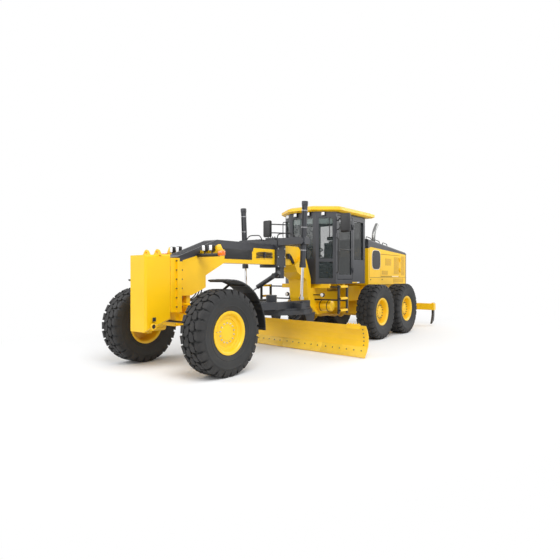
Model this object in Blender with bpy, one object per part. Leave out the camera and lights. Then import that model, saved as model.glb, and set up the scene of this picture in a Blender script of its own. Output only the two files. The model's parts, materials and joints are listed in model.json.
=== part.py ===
"""Articulated motor grader at real size, parked with its blade just off the ground.

Metres, +X forward, +Y to the driver's left, +Z up. The origin is on the ground below
the middle of the machine. Each named object is one piece, and each moving piece has
its origin on its joint's axis.
"""
import math

import bmesh
import bpy
from mathutils import Matrix, Vector

# Stance and running clearances
WHEELBASE = 6.16
TANDEM_SPACING = 1.54
TRACK = 2.06
TANDEM_X = -1.9055
ARTICULATION_AHEAD = 1.75
SEAT_GAP = 0.0005
MOVE_GAP = 0.012
CUT_OVERRUN = 0.02
ROUND = 14
SMALL_ROUND = 8
WIDE_ROUND = 32
WHEEL_ROUND = 20
FUSE_DEPTH = 0.004

# Wheels
TYRE_RADIUS = 0.674
TYRE_WIDTH = 0.445
BEAD_RADIUS = 0.33
BEAD_WIDTH = 0.34
RIM_FLANGE_HEIGHT = 0.026
RIM_FLANGE_THICK = 0.016
RIM_WALL = 0.022
DISC_THICK = 0.024
FRONT_DISC_OFFSET = 0.09
REAR_DISC_OFFSET = -0.085
HUB_RADIUS = 0.115
HUB_HEIGHT = 0.03

# Gooseneck frame
NECK_WIDTH = 0.34
NECK_TOP = 2.20
NECK_BOTTOM = 1.79
NOSE_TOP = 1.86
NOSE_AHEAD = 0.16
APEX_BEHIND = 0.76
KNEE_BEHIND = 0.48
KNEE_HEIGHT = 1.56
KNEE_START_BEHIND = 0.94
LEG_FOOT_HEIGHT = 1.35
BOLSTER_ARCH = 1.22
BOLSTER_BOTTOM = 0.72
BOLSTER_PLATE = 0.08
BOLSTER_WIDTH = 0.26
NOSE_PLATE_WIDTH = 0.48
NOSE_PLATE_THICK = 0.045
DROP_WIDTH = 0.50
DROP_TOP_AHEAD = 1.30
DROP_TOP = 2.04
DROP_REAR_TOP = 1.28
DROP_BOTTOM = 0.66
DROP_REAR_AHEAD = 0.27
FORK_PLATE = 0.10
FORK_RADIUS = 0.19
HITCH_PIN_RADIUS = 0.055
BALL_FORK_BEHIND = 0.46
BALL_HEIGHT = 0.92

# Counterweight on the nose
WEIGHT_WIDTH = 0.41
WEIGHT_FRONT_AHEAD = 0.80
WEIGHT_LENGTH = 0.50
WEIGHT_BOTTOM = 0.68
WEIGHT_REAR_BOTTOM = 0.85
WEIGHT_TOP = 1.87
WEIGHT_REAR_TOP = 1.90
WEIGHT_EDGE = 0.03
FLANGE_BOTTOM = 0.96
FLANGE_TOP = 1.84
EYE_RADIUS = 0.05
EYE_RISE = 0.022
EYE_HOLE = 0.022
EYE_THICK = 0.03
EYE_SPREAD = 0.28
EYE_BEHIND = 0.28

# Front axle, lean yokes and knuckles
BEAM_WIDTH = 0.15
BEAM_HEIGHT = 0.20
LEAN_PIVOT_Y = 0.55
LEAN_PIVOT_Z = 0.66
LEAN_BARREL_RADIUS = 0.075
LEAN_BARREL_LENGTH = 0.20
YOKE_EAR = 0.035
YOKE_PLATE_Y = 0.645
YOKE_PLATE_THICK = 0.035
YOKE_PLATE_WIDTH = 0.12
YOKE_TOP = 1.13
LEAN_BAR_Z = 1.07
LEAN_BAR_RADIUS = 0.03
LEAN_EYE_RADIUS = 0.045
LEAN_EYE_THICK = 0.07
KINGPIN_Y = 0.80
KINGPIN_RADIUS = 0.055
KINGPIN_LENGTH = 0.22
KNUCKLE_EAR = 0.04
KNUCKLE_EAR_RADIUS = 0.06
KNUCKLE_PLATE_THICK = 0.04
SPINDLE_RADIUS = 0.055
STEER_ARM_LENGTH = 0.175
STEER_ARM_WIDTH = 0.05
TIE_ROD_RADIUS = 0.018

# Front fenders, as angles round the wheel from straight ahead over the top
FENDER_RADIUS = 0.80
FENDER_THICK = 0.02
FENDER_WIDTH = 0.40
FENDER_START = math.radians(82)
FENDER_END = math.radians(182)
FENDER_STEPS = 8
FENDER_LIP = 0.05
FENDER_STAY_RADIUS = 0.022

# Saddle and blade lift cylinders
SADDLE_BEHIND = 2.57
SADDLE_LENGTH = 0.30
SADDLE_WALL = 0.06
SADDLE_TOP = 2.30
TRUNNION_Y = 0.80
TRUNNION_Z = 2.26
TRUNNION_WIDTH = 0.18
TRUNNION_RADIUS = 0.085
SADDLE_ARM_THICK = 0.04
SADDLE_ARM_HEIGHT = 0.15
LIFT_TUBE_RADIUS = 0.058
LIFT_TUBE_ABOVE = 0.80
LIFT_TUBE_BELOW = 0.54
LIFT_ROD_RADIUS = 0.028
LIFT_EYE_Y = 0.75
LIFT_EYE_Z = 1.10
EYE_BALL_RADIUS = 0.05
TUBE_WALL = 0.014
ROD_GUIDE = 0.06
HANGER_WIDTH = 0.12
HANGER_BOTTOM = 1.50
SHIFT_TUBE_RADIUS = 0.05
SHIFT_ROD_RADIUS = 0.025
SHIFT_PIVOT_Y = 0.14
SHIFT_PIVOT_Z = 1.56
SHIFT_EYE_Y = -0.64
SHIFT_EYE_Z = 1.15
SHIFT_AHEAD = 0.06

# Drawbar and circle
CIRCLE_AHEAD = 3.43
CIRCLE_RADIUS = 0.76
CIRCLE_INNER = 0.64
CIRCLE_BOTTOM = 0.76
CIRCLE_THICK = 0.09
DRAW_PLATE_THICK = 0.04
DRAW_PLATE_INNER = 0.50
DRAW_PLATE_OUTER = 0.73
DRAW_BEAM_TOP = 1.03
DRAW_BEAM_WIDTH = 0.13
DRAW_SPREAD = 0.52
DRAW_EAR_THICK = 0.045
DRAW_NOSE_RADIUS = 0.07
SWING_BLOCK_WIDTH = 0.12
SWING_BLOCK_HEIGHT = 0.16
CROSS_BEAM_LENGTH = 1.62
CROSS_BEAM_WIDTH = 0.17
TURN_MOTOR_RADIUS = 0.11
TURN_MOTOR_TOP = 1.16
ARM_Y = 0.50
ARM_THICK = 0.05
BLADE_YAW = math.radians(-6)

# Blade, in the circle's own turned frame: ahead of the circle's centre is positive
BLADE_LENGTH = 4.27
BLADE_HEIGHT = 0.61
BLADE_CLEARANCE = 0.012
BLADE_FOOT_AHEAD = -0.15
BLADE_DEPTH = 0.115
BLADE_LEAN = 0.15
BLADE_THICK = 0.025
BLADE_ARC_STEPS = 6
TILT_PIVOT_AHEAD = -0.485
TILT_PIVOT_Z = 0.25
TILT_PIVOT_RADIUS = 0.06
RAIL_LENGTH = 3.0
RAIL_HEIGHT = 0.06
RAIL_DEPTH = 0.05
UPPER_RAIL_Z = 0.44
LOWER_RAIL_Z = 0.15
JAW_DEPTH = 0.05
JAW_WIDTH = 0.12
SHIFT_CYL_RADIUS = 0.04
SHIFT_CYL_Z = 0.295
SHIFT_CYL_RIGHT = -0.58
SHIFT_CYL_LEFT = 0.98
SHIFT_LUG_Y = -1.32
BLADE_ROD_RADIUS = 0.022
TILT_TUBE_RADIUS = 0.045
TILT_ROD_RADIUS = 0.024
TILT_TOP_AHEAD = -0.74
TILT_TOP_Z = 0.66
TILT_EYE_AHEAD = -0.45
TILT_EYE_Z = 0.52

# Cab
CAB_FLOOR = 1.37
CAB_TOP = 3.02
CAB_WIDTH = 1.44
CAB_REAR_BEHIND = 1.0
CAB_FRONT_AHEAD = 0.42
CAB_NOSE_AHEAD = 0.72
CAB_NOSE_WIDTH = 0.72
CAB_WALL = 0.06
CAB_FLOOR_THICK = 0.08
ROOF_THICK = 0.13
ROOF_OVERHANG = 0.12
ROOF_FRONT_HANG = 0.12
ROOF_REAR_HANG = 0.30
DOOR_REAR_BEHIND = 0.36
DOOR_LENGTH = 0.71
DOOR_BOTTOM = 1.47
DOOR_TOP = 2.95
DOOR_FRAME = 0.055
DOOR_SILL = 0.10
DOOR_THICK = 0.045
WINDOW_BOTTOM = 1.95
LOWER_WINDOW_BOTTOM = 1.50
LOWER_WINDOW_TOP = 1.88
WINDOW_TOP = 2.88
REAR_WINDOW_BOTTOM = 2.05
PILLAR = 0.075
SEAT_WIDTH = 0.50
SEAT_DEPTH = 0.50
SEAT_CUSHION = 0.12
SEAT_BACK_HEIGHT = 0.62
SEAT_HEIGHT = 0.50
SEAT_BEHIND = 0.32
SEAT_POST = 0.30
COLUMN_AHEAD = 0.36
COLUMN_RADIUS = 0.07
COLUMN_HEIGHT = 0.72
STEER_WHEEL_RADIUS = 0.19
STEER_WHEEL_TUBE = 0.016
MIRROR_Y = 1.10
MIRROR_AHEAD = 0.66
MIRROR_WIDTH = 0.20
MIRROR_HEIGHT = 0.38
MIRROR_THICK = 0.06
MIRROR_Z = 2.72
MIRROR_TUBE = 0.014
LADDER_Y = 1.08
LADDER_AHEAD = 0.56
LADDER_LENGTH = 0.42
LADDER_BOTTOM = 0.74
LADDER_RAIL = 0.06
LADDER_RAIL_THICK = 0.03
LADDER_RUNG = 0.035
LADDER_PITCH = 0.255
LADDER_RUNGS = 3

# Rear frame, tandems and tank
RAIL_Y = 0.31
RAIL_THICK = 0.06
FRAME_TOP = 1.30
FRAME_BOTTOM = 0.92
FRAME_FRONT_BEHIND = 0.75
REAR_END_BEHIND_TANDEM = 2.20
TONGUE_WIDTH = 0.34
AXLE_HOUSING_RADIUS = 0.20
CASE_Y = 0.665
CASE_WIDTH = 0.17
CASE_RADIUS = 0.21
PIVOT_HUB_RADIUS = 0.26
CASE_HUB_RADIUS = 0.15
REAR_PLATE_THICK = 0.08
REAR_PLATE_BOTTOM = 0.52
REAR_PLATE_WIDTH = 0.90

# Hood and what is under it
HOOD_WIDTH = 1.20
HOOD_BOTTOM = 1.32
HOOD_FRONT_BEHIND = 1.43
HOOD_FRONT_TOP = 2.53
HOOD_REAR_TOP = 2.27
HOOD_WALL = 0.04
HOOD_CHAMFER = 0.09
HOOD_DOOR_BOTTOM = 1.54
HOOD_DOOR_TOP = 2.16
HOOD_DOOR_AHEAD = 1.78
HOOD_DOOR_LENGTH = 1.30
GRILLE_FRAME = 0.06
GRILLE_SLAT = 0.02
GRILLE_PITCH = 0.085
ENGINE_LENGTH = 1.20
ENGINE_WIDTH = 0.66
ENGINE_HEIGHT = 0.78
ENGINE_BEHIND = 0.42
EXHAUST_RADIUS = 0.055
EXHAUST_AHEAD = 0.95
EXHAUST_Y = 0.28
EXHAUST_TOP = 3.05
EXHAUST_LEAN = 0.22

# Ripper
RIPPER_PIVOT_Z = 0.60
RIPPER_LINK_LENGTH = 0.50
RIPPER_LINK_Y = 0.36
RIPPER_LINK_THICK = 0.04
RIPPER_LINK_HEIGHT = 0.11
RIPPER_LINK_RISE = 0.30
RIPPER_BEAM_LENGTH = 2.40
RIPPER_BEAM_DEPTH = 0.18
RIPPER_BEAM_HEIGHT = 0.20
RIPPER_BEAM_WALL = 0.05
SHANK_THICK = 0.055
SHANK_WIDTH = 0.11
SHANK_Y = 1.12
SHANK_TIP = 0.07
SHANK_HOOK = 0.16
SHANK_ABOVE = 0.02
RIPPER_TUBE_RADIUS = 0.055
RIPPER_ROD_RADIUS = 0.028
RIPPER_TOP_Z = 1.20
RIPPER_EYE_Z = 0.84

# Hinges of the doors and the grille
HINGE_RADIUS = 0.016
HINGE_HEIGHT = 0.06

# Shares of the tyre's section height and half width, from the bead to the tread
TYRE_SHARES = ((0.075, 0.76), (0.18, 0.93), (0.45, 1.0), (0.78, 0.98), (0.93, 0.92), (1.0, 0.80))

# Shares of a shank's width ahead of its front edge, and of its hook's height above the tip
SHANK_SHARES = ((-1.0, 1.5), (-0.6, 0.6), (1.1, 0.0), (0.3, 1.1), (0.0, 1.8))

# Shares of a lifting eye's radius round its ear, from the eye's centre
EAR_SHARES = ((-1.9, -0.9), (1.9, -0.9), (0.85, 0.5), (-0.85, 0.5))

# Shares of the drop section's run behind its top, and of its slope below the neck, along the underside
DROP_UNDER_SHARES = ((-0.08, 0.0), (0.02, 0.14), (0.20, 0.22), (0.36, 0.283), (0.42, 0.655), (0.53, 0.84))
# Shares of the run behind its top, and of the neck's depth above the rear, along the upper side
DROP_OVER_SHARES = ((0.543, 0.0), (0.53, 0.52), (0.40, 1.3))
DROP_TOP_SHARE = 0.30

# Places worked out from the sizes above
FRONT_X = TANDEM_X + WHEELBASE
ARTIC_X = TANDEM_X + ARTICULATION_AHEAD
WHEEL_Y = TRACK / 2
BALL_X = FRONT_X - BALL_FORK_BEHIND
CIRCLE_X = TANDEM_X + CIRCLE_AHEAD
SADDLE_X = FRONT_X - SADDLE_BEHIND
HOOD_FRONT_X = ARTIC_X - HOOD_FRONT_BEHIND
REAR_X = TANDEM_X - REAR_END_BEHIND_TANDEM
CAB_REAR_X = ARTIC_X - CAB_REAR_BEHIND
CAB_FRONT_X = ARTIC_X + CAB_FRONT_AHEAD
CAB_NOSE_X = ARTIC_X + CAB_NOSE_AHEAD
CAB_HALF = CAB_WIDTH / 2

# Paints as colour, roughness and metallic
YELLOW = ((0.93, 0.60, 0.02), 0.35, 0.0)
CHARCOAL = ((0.055, 0.055, 0.065), 0.5, 0.1)
BLACK = ((0.015, 0.015, 0.017), 0.6, 0.0)
RUBBER = ((0.02, 0.02, 0.02), 0.85, 0.0)
CHROME = ((0.80, 0.80, 0.82), 0.12, 1.0)
STEEL = ((0.30, 0.30, 0.31), 0.4, 0.9)
FABRIC = ((0.05, 0.05, 0.055), 0.9, 0.0)

X_AXIS = Vector((1, 0, 0))
Y_AXIS = Vector((0, 1, 0))
Z_AXIS = Vector((0, 0, 1))


def clear_scene():
    """Empty the scene."""
    for item in list(bpy.data.objects):
        bpy.data.objects.remove(item, do_unlink=True)


def paint(name, finish):
    """Return a new Principled material in one of the finishes above."""
    colour, roughness, metallic = finish
    result = bpy.data.materials.new(name)
    result.use_nodes = True
    shader = result.node_tree.nodes["Principled BSDF"]
    shader.inputs["Base Color"].default_value = (*colour, 1)
    shader.inputs["Roughness"].default_value = roughness
    shader.inputs["Metallic"].default_value = metallic
    result.diffuse_color = (*colour, 1)
    return result


def closed_mesh(shape):
    """Turn a bmesh into a closed mesh whose faces point outwards."""
    bmesh.ops.recalc_face_normals(shape, faces=shape.faces[:])
    result = bpy.data.meshes.new("solid")
    shape.to_mesh(result)
    shape.free()
    return result


def prism(outline, low, high, axis="Y", bevel=0):
    """Extrude a closed outline from low to high along one axis.

    The outline's pairs are (x, z) along Y, (y, z) along X and (x, y) along Z.
    """
    place = {"Y": lambda a, b, t: (a, t, b),
             "X": lambda a, b, t: (t, a, b),
             "Z": lambda a, b, t: (a, b, t)}[axis]
    shape = bmesh.new()
    face = shape.faces.new([shape.verts.new(place(a, b, low)) for a, b in outline])
    moved = bmesh.ops.extrude_face_region(shape, geom=[face])
    travel = Vector(place(0, 0, high - low))
    tops = [item for item in moved["geom"] if isinstance(item, bmesh.types.BMVert)]
    bmesh.ops.translate(shape, verts=tops, vec=travel)
    if bevel:
        direction = travel.normalized()
        edges = [edge for edge in shape.edges
                 if abs((edge.verts[1].co - edge.verts[0].co).normalized().dot(direction)) < 0.5]
        bmesh.ops.bevel(shape, geom=edges, offset=bevel, segments=1, affect="EDGES",
                        profile=0.5)
    return closed_mesh(shape)


def box(low, high):
    """A block between two corners."""
    outline = [(low[0], low[2]), (high[0], low[2]), (high[0], high[2]), (low[0], high[2])]
    return prism(outline, low[1], high[1])


def block(centre, size):
    """A block about its centre."""
    half = Vector(size) / 2
    return box(Vector(centre) - half, Vector(centre) + half)


def turned(profile, start, direction, segments=ROUND):
    """Spin a profile of (radius, distance) pairs about the line from start along direction.

    A profile whose ends lie on the line closes there; any other profile is a ring.
    """
    ring = profile[0][0] > 0
    shape = bmesh.new()
    points = [shape.verts.new((radius, 0, along)) for radius, along in profile]
    pairs = list(zip(points, points[1:]))
    if ring:
        pairs.append((points[-1], points[0]))
    edges = [shape.edges.new(pair) for pair in pairs]
    bmesh.ops.spin(shape, geom=points + edges, cent=(0, 0, 0), axis=(0, 0, 1),
                   angle=math.tau, steps=segments, use_merge=True)
    bmesh.ops.remove_doubles(shape, verts=shape.verts[:], dist=0.00001)
    turn = Z_AXIS.rotation_difference(Vector(direction)).to_matrix().to_4x4()
    bmesh.ops.transform(shape, matrix=Matrix.Translation(start) @ turn, verts=shape.verts[:])
    return closed_mesh(shape)


def rod(start, end, radius, segments=SMALL_ROUND):
    """A round bar between two points."""
    start, end = Vector(start), Vector(end)
    length = (end - start).length
    return turned([(0, 0), (radius, 0), (radius, length), (0, length)],
                  start, end - start, segments)


def bar(centre, axis, radius, length, segments=ROUND):
    """A round boss about its centre, along an axis."""
    half = Vector(axis).normalized() * length / 2
    return rod(Vector(centre) - half, Vector(centre) + half, radius, segments)


def tube(points, radius, segments=SMALL_ROUND):
    """A round bar through points, mitred at its corners."""
    points = [Vector(point) for point in points]
    runs = [(end - start).normalized() for start, end in zip(points, points[1:])]
    side = runs[0].orthogonal().normalized()
    up = runs[0].cross(side)
    shape = bmesh.new()
    ring = [points[0] + (side * math.cos(a) + up * math.sin(a)) * radius
            for a in (math.tau * i / segments for i in range(segments))]
    rings = [[shape.verts.new(place) for place in ring]]
    for point, run, ahead in zip(points[1:], runs, runs[1:] + runs[-1:]):
        normal = (run + ahead).normalized()
        ring = [place + run * ((point - place).dot(normal) / run.dot(normal)) for place in ring]
        rings.append([shape.verts.new(place) for place in ring])
    shape.faces.new(rings[0])
    shape.faces.new(rings[-1])
    for lower, upper in zip(rings, rings[1:]):
        for i in range(segments):
            j = (i + 1) % segments
            shape.faces.new((lower[i], lower[j], upper[j], upper[i]))
    return closed_mesh(shape)


def joined(operation, base, others):
    """Apply one Boolean after another to a mesh and return the result."""
    for other in others:
        target = bpy.data.objects.new("target", base)
        helper = bpy.data.objects.new("helper", other)
        for item in (target, helper):
            bpy.context.collection.objects.link(item)
        step = target.modifiers.new("step", "BOOLEAN")
        step.operation = operation
        step.solver = "EXACT"
        step.object = helper
        graph = bpy.context.evaluated_depsgraph_get()
        base = bpy.data.meshes.new_from_object(target.evaluated_get(graph))
        for item in (target, helper):
            bpy.data.objects.remove(item, do_unlink=True)
        shape = bmesh.new()
        shape.from_mesh(base)
        bmesh.ops.remove_doubles(shape, verts=shape.verts[:], dist=0.00002)
        bmesh.ops.dissolve_degenerate(shape, edges=shape.edges[:], dist=0.00002)
        shape.to_mesh(base)
        shape.free()
    return base


def fuse(base, *others):
    """One body made of several."""
    return joined("UNION", base, others)


def carve(base, *others):
    """A body with others cut from it."""
    return joined("DIFFERENCE", base, others)


def moved(mesh, matrix):
    """A transformed copy of a mesh, turned right side out where it was mirrored."""
    copy = mesh.copy()
    copy.transform(matrix)
    if matrix.determinant() < 0:
        copy.flip_normals()
    return copy


def mirrored(mesh):
    """The same piece on the other side of the machine."""
    return moved(mesh, Matrix.Scale(-1, 4, Y_AXIS))


def both_sides(mesh):
    """A piece and its twin across the machine."""
    return mesh, mirrored(mesh)


def piece(name, mesh, finish, pivot=(0, 0, 0)):
    """Name a finished mesh, paint it and put its origin on its pivot."""
    mesh.transform(Matrix.Translation(-Vector(pivot)))
    mesh.materials.clear()
    mesh.materials.append(paint(name, finish))
    mesh.name = name
    for polygon in mesh.polygons:
        polygon.material_index = 0
    mesh.shade_smooth()
    mesh.set_sharp_from_angle(angle=math.radians(35))
    result = bpy.data.objects.new(name, mesh)
    result.location = pivot
    bpy.context.collection.objects.link(result)
    return result


def in_blade_frame(mesh):
    """Turn a mesh made square to the circle to the blade's parked angle."""
    centre = Matrix.Translation((CIRCLE_X, 0, 0))
    return moved(mesh, centre @ Matrix.Rotation(BLADE_YAW, 4, "Z"))


def blade_place(ahead, side, height):
    """A point of the blade's own frame, in the machine's frame."""
    turned_point = Matrix.Rotation(BLADE_YAW, 3, "Z") @ Vector((ahead, side, 0))
    return Vector((CIRCLE_X + turned_point.x, turned_point.y, height))


def capped_rod(inner_end, eye, radius, eye_radius, eye_axis, eye_thick):
    """A rod with an eye at its outer end."""
    return fuse(rod(inner_end, eye, radius, ROUND), bar(eye, eye_axis, eye_radius, eye_thick, ROUND))


def make_tyre(name, x, side):
    """A tyre as a plain ring out to its lugs' tips."""
    height = TYRE_RADIUS - BEAD_RADIUS
    half = TYRE_WIDTH / 2
    bead = BEAD_WIDTH / 2 - SEAT_GAP
    wall = [(BEAD_RADIUS, bead)]
    wall += [(BEAD_RADIUS + up * height, max(out * half, bead) if up > 0.1 else bead)
             for up, out in TYRE_SHARES]
    profile = wall + [(radius, -along) for radius, along in reversed(wall)]
    centre = (x, side * WHEEL_Y, TYRE_RADIUS)
    return piece(name, turned(profile, centre, Y_AXIS * side, WHEEL_ROUND), RUBBER, centre)


def make_rim(name, x, side, disc):
    """A rim with its disc and hub cap, the disc's outer face at disc."""
    bead = BEAD_WIDTH / 2
    edge = bead + RIM_FLANGE_THICK
    seat = BEAD_RADIUS - SEAT_GAP
    inner = seat - RIM_WALL
    flange = BEAD_RADIUS + RIM_FLANGE_HEIGHT
    profile = [(0, disc - DISC_THICK), (inner, disc - DISC_THICK), (inner, -edge),
               (flange, -edge), (flange, -bead), (seat, -bead), (seat, bead),
               (flange, bead), (flange, edge), (inner, edge), (inner, disc), (HUB_RADIUS, disc),
               (HUB_RADIUS, disc + HUB_HEIGHT), (0, disc + HUB_HEIGHT)]
    centre = (x, side * WHEEL_Y, TYRE_RADIUS)
    return piece(name, turned(profile, centre, Y_AXIS * side, WHEEL_ROUND), YELLOW, centre)


def make_wheels():
    """All six wheels."""
    rows = (("front", FRONT_X, FRONT_DISC_OFFSET),
            ("middle", TANDEM_X + TANDEM_SPACING / 2, REAR_DISC_OFFSET),
            ("rear", TANDEM_X - TANDEM_SPACING / 2, REAR_DISC_OFFSET))
    for row, x, disc in rows:
        for hand, side in (("left", 1), ("right", -1)):
            make_tyre(f"tyre_{row}_{hand}", x, side)
            make_rim(f"rim_{row}_{hand}", x, side, disc)


def front_frame():
    """Gooseneck, drop section, axle bolster, drawbar fork and the articulation fork."""
    nose = FRONT_X + NOSE_AHEAD
    half = NECK_WIDTH / 2
    beam = BEAM_WIDTH / 2 + SEAT_GAP
    drop = ARTIC_X + DROP_TOP_AHEAD
    neck = prism([(nose, BOLSTER_ARCH), (nose, NOSE_TOP), (FRONT_X - APEX_BEHIND, NECK_TOP),
                  (drop - NECK_WIDTH / 2, NECK_TOP), (drop - NECK_WIDTH, DROP_TOP),
                  (drop - NECK_WIDTH, NECK_BOTTOM), (FRONT_X - KNEE_START_BEHIND, NECK_BOTTOM),
                  (FRONT_X - KNEE_BEHIND, KNEE_HEIGHT), (FRONT_X - KNEE_BEHIND, LEG_FOOT_HEIGHT),
                  (FRONT_X - beam - BOLSTER_PLATE, BOLSTER_ARCH)], -half, half)
    rise = NECK_TOP - NECK_BOTTOM
    run = DROP_TOP_AHEAD - DROP_REAR_AHEAD
    slope = NECK_BOTTOM - DROP_BOTTOM
    under = [(drop - back * run, NECK_BOTTOM - down * slope) for back, down in DROP_UNDER_SHARES]
    over = [(drop - back * run, DROP_REAR_TOP + up * rise) for back, up in DROP_OVER_SHARES]
    heel = [(drop - 0.80 * run, DROP_BOTTOM), (drop - run, DROP_BOTTOM), (drop - run, DROP_REAR_TOP)]
    drop_side = under + heel + over + [(drop - DROP_TOP_SHARE * run, DROP_TOP)]
    body = fuse(neck, prism(drop_side, -DROP_WIDTH / 2, DROP_WIDTH / 2))
    foot = BOLSTER_WIDTH / 2
    lugs = [box((FRONT_X + beam, -foot, BOLSTER_BOTTOM), (nose, foot, BOLSTER_ARCH + BOLSTER_PLATE)),
            box((FRONT_X - beam - BOLSTER_PLATE, -foot, BOLSTER_BOTTOM),
                (FRONT_X - beam, foot, BOLSTER_ARCH + BOLSTER_PLATE))]
    plate_half = NOSE_PLATE_WIDTH / 2
    lugs.append(box((nose - NOSE_PLATE_THICK, -plate_half, FLANGE_BOTTOM),
                    (nose, plate_half, FLANGE_TOP)))
    reach = FRONT_X - beam - BOLSTER_PLATE / 2
    block_half = SWING_BLOCK_HEIGHT / 2 + SEAT_GAP
    fork_half = SWING_BLOCK_WIDTH / 2 - SEAT_GAP
    for sign in (1, -1):
        near = BALL_HEIGHT + sign * block_half
        far = near + sign * DRAW_EAR_THICK
        low, high = min(near, far), max(near, far)
        lugs.append(box((BALL_X - fork_half, -fork_half, low), (reach, fork_half, high)))
    lugs += articulation_fork()
    return piece("front_frame", fuse(body, *lugs), YELLOW)


def articulation_fork():
    """Two plates round the hitch pin, the pin and the cab's bearers."""
    result = []
    reach = ARTIC_X + DROP_REAR_AHEAD + CUT_OVERRUN
    for low in (DROP_BOTTOM, DROP_REAR_TOP - FORK_PLATE):
        result.append(box((ARTIC_X, -FORK_RADIUS, low), (reach, FORK_RADIUS, low + FORK_PLATE)))
        result.append(rod((ARTIC_X, 0, low), (ARTIC_X, 0, low + FORK_PLATE), FORK_RADIUS, ROUND))
    result.append(rod((ARTIC_X, 0, DROP_BOTTOM - FUSE_DEPTH), (ARTIC_X, 0, DROP_REAR_TOP - FUSE_DEPTH),
                      HITCH_PIN_RADIUS, WIDE_ROUND))
    for x in (ARTIC_X - FORK_RADIUS / 2, ARTIC_X + 2 * DROP_REAR_AHEAD):
        result.append(box((x, -CAB_HALF + CAB_WALL, DROP_REAR_TOP - FUSE_DEPTH),
                          (x + FORK_PLATE, CAB_HALF - CAB_WALL, CAB_FLOOR - SEAT_GAP)))
    return result


def counterweight():
    """The cast nose weight with its flange and two lifting eyes."""
    front = FRONT_X + WEIGHT_FRONT_AHEAD
    rear = front - WEIGHT_LENGTH
    half = WEIGHT_WIDTH / 2
    body = prism([(front, WEIGHT_BOTTOM), (front, WEIGHT_TOP), (rear, WEIGHT_REAR_TOP),
                  (rear, WEIGHT_REAR_BOTTOM)], -half, half, bevel=WEIGHT_EDGE)
    plate_half = NOSE_PLATE_WIDTH / 2
    flange = box((FRONT_X + NOSE_AHEAD + SEAT_GAP, -plate_half, FLANGE_BOTTOM),
                 (FRONT_X + NOSE_AHEAD + NOSE_PLATE_THICK, plate_half, FLANGE_TOP))
    neck = box((FRONT_X + NOSE_AHEAD + NOSE_PLATE_THICK - FUSE_DEPTH, -half, FLANGE_BOTTOM),
               (rear + CUT_OVERRUN, half, FLANGE_TOP))
    eyes = []
    holes = []
    for side in (1, -1):
        centre = Vector((front - EYE_BEHIND, side * EYE_SPREAD / 2, WEIGHT_REAR_TOP + EYE_RISE))
        eyes.append(bar(centre, X_AXIS, EYE_RADIUS, EYE_THICK, SMALL_ROUND))
        ear = [(centre.y + along * EYE_RADIUS, centre.z + up * EYE_RADIUS) for along, up in EAR_SHARES]
        eyes.append(prism(ear, centre.x - EYE_THICK / 2, centre.x + EYE_THICK / 2, "X"))
        holes.append(bar(centre, X_AXIS, EYE_HOLE, 2 * EYE_THICK, SMALL_ROUND))
    return piece("counterweight", carve(fuse(body, flange, neck, *eyes), *holes), YELLOW)


def front_axle():
    """The bow-shaped beam with the lean barrels at its ends."""
    half = BEAM_WIDTH / 2
    top = BALL_HEIGHT
    end = LEAN_PIVOT_Z
    outline = [(-LEAN_PIVOT_Y, end - 0.5 * BEAM_HEIGHT / 2), (-0.6 * LEAN_PIVOT_Y, top - BEAM_HEIGHT),
               (0.6 * LEAN_PIVOT_Y, top - BEAM_HEIGHT), (LEAN_PIVOT_Y, end - 0.5 * BEAM_HEIGHT / 2),
               (LEAN_PIVOT_Y, end + 0.5 * BEAM_HEIGHT / 2), (0.6 * LEAN_PIVOT_Y, top),
               (-0.6 * LEAN_PIVOT_Y, top), (-LEAN_PIVOT_Y, end + 0.5 * BEAM_HEIGHT / 2)]
    beam = prism(outline, FRONT_X - half, FRONT_X + half, "X")
    barrel = bar((FRONT_X, LEAN_PIVOT_Y, LEAN_PIVOT_Z), X_AXIS, LEAN_BARREL_RADIUS,
                 LEAN_BARREL_LENGTH)
    return piece("front_axle", fuse(beam, *both_sides(barrel)), YELLOW)


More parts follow.
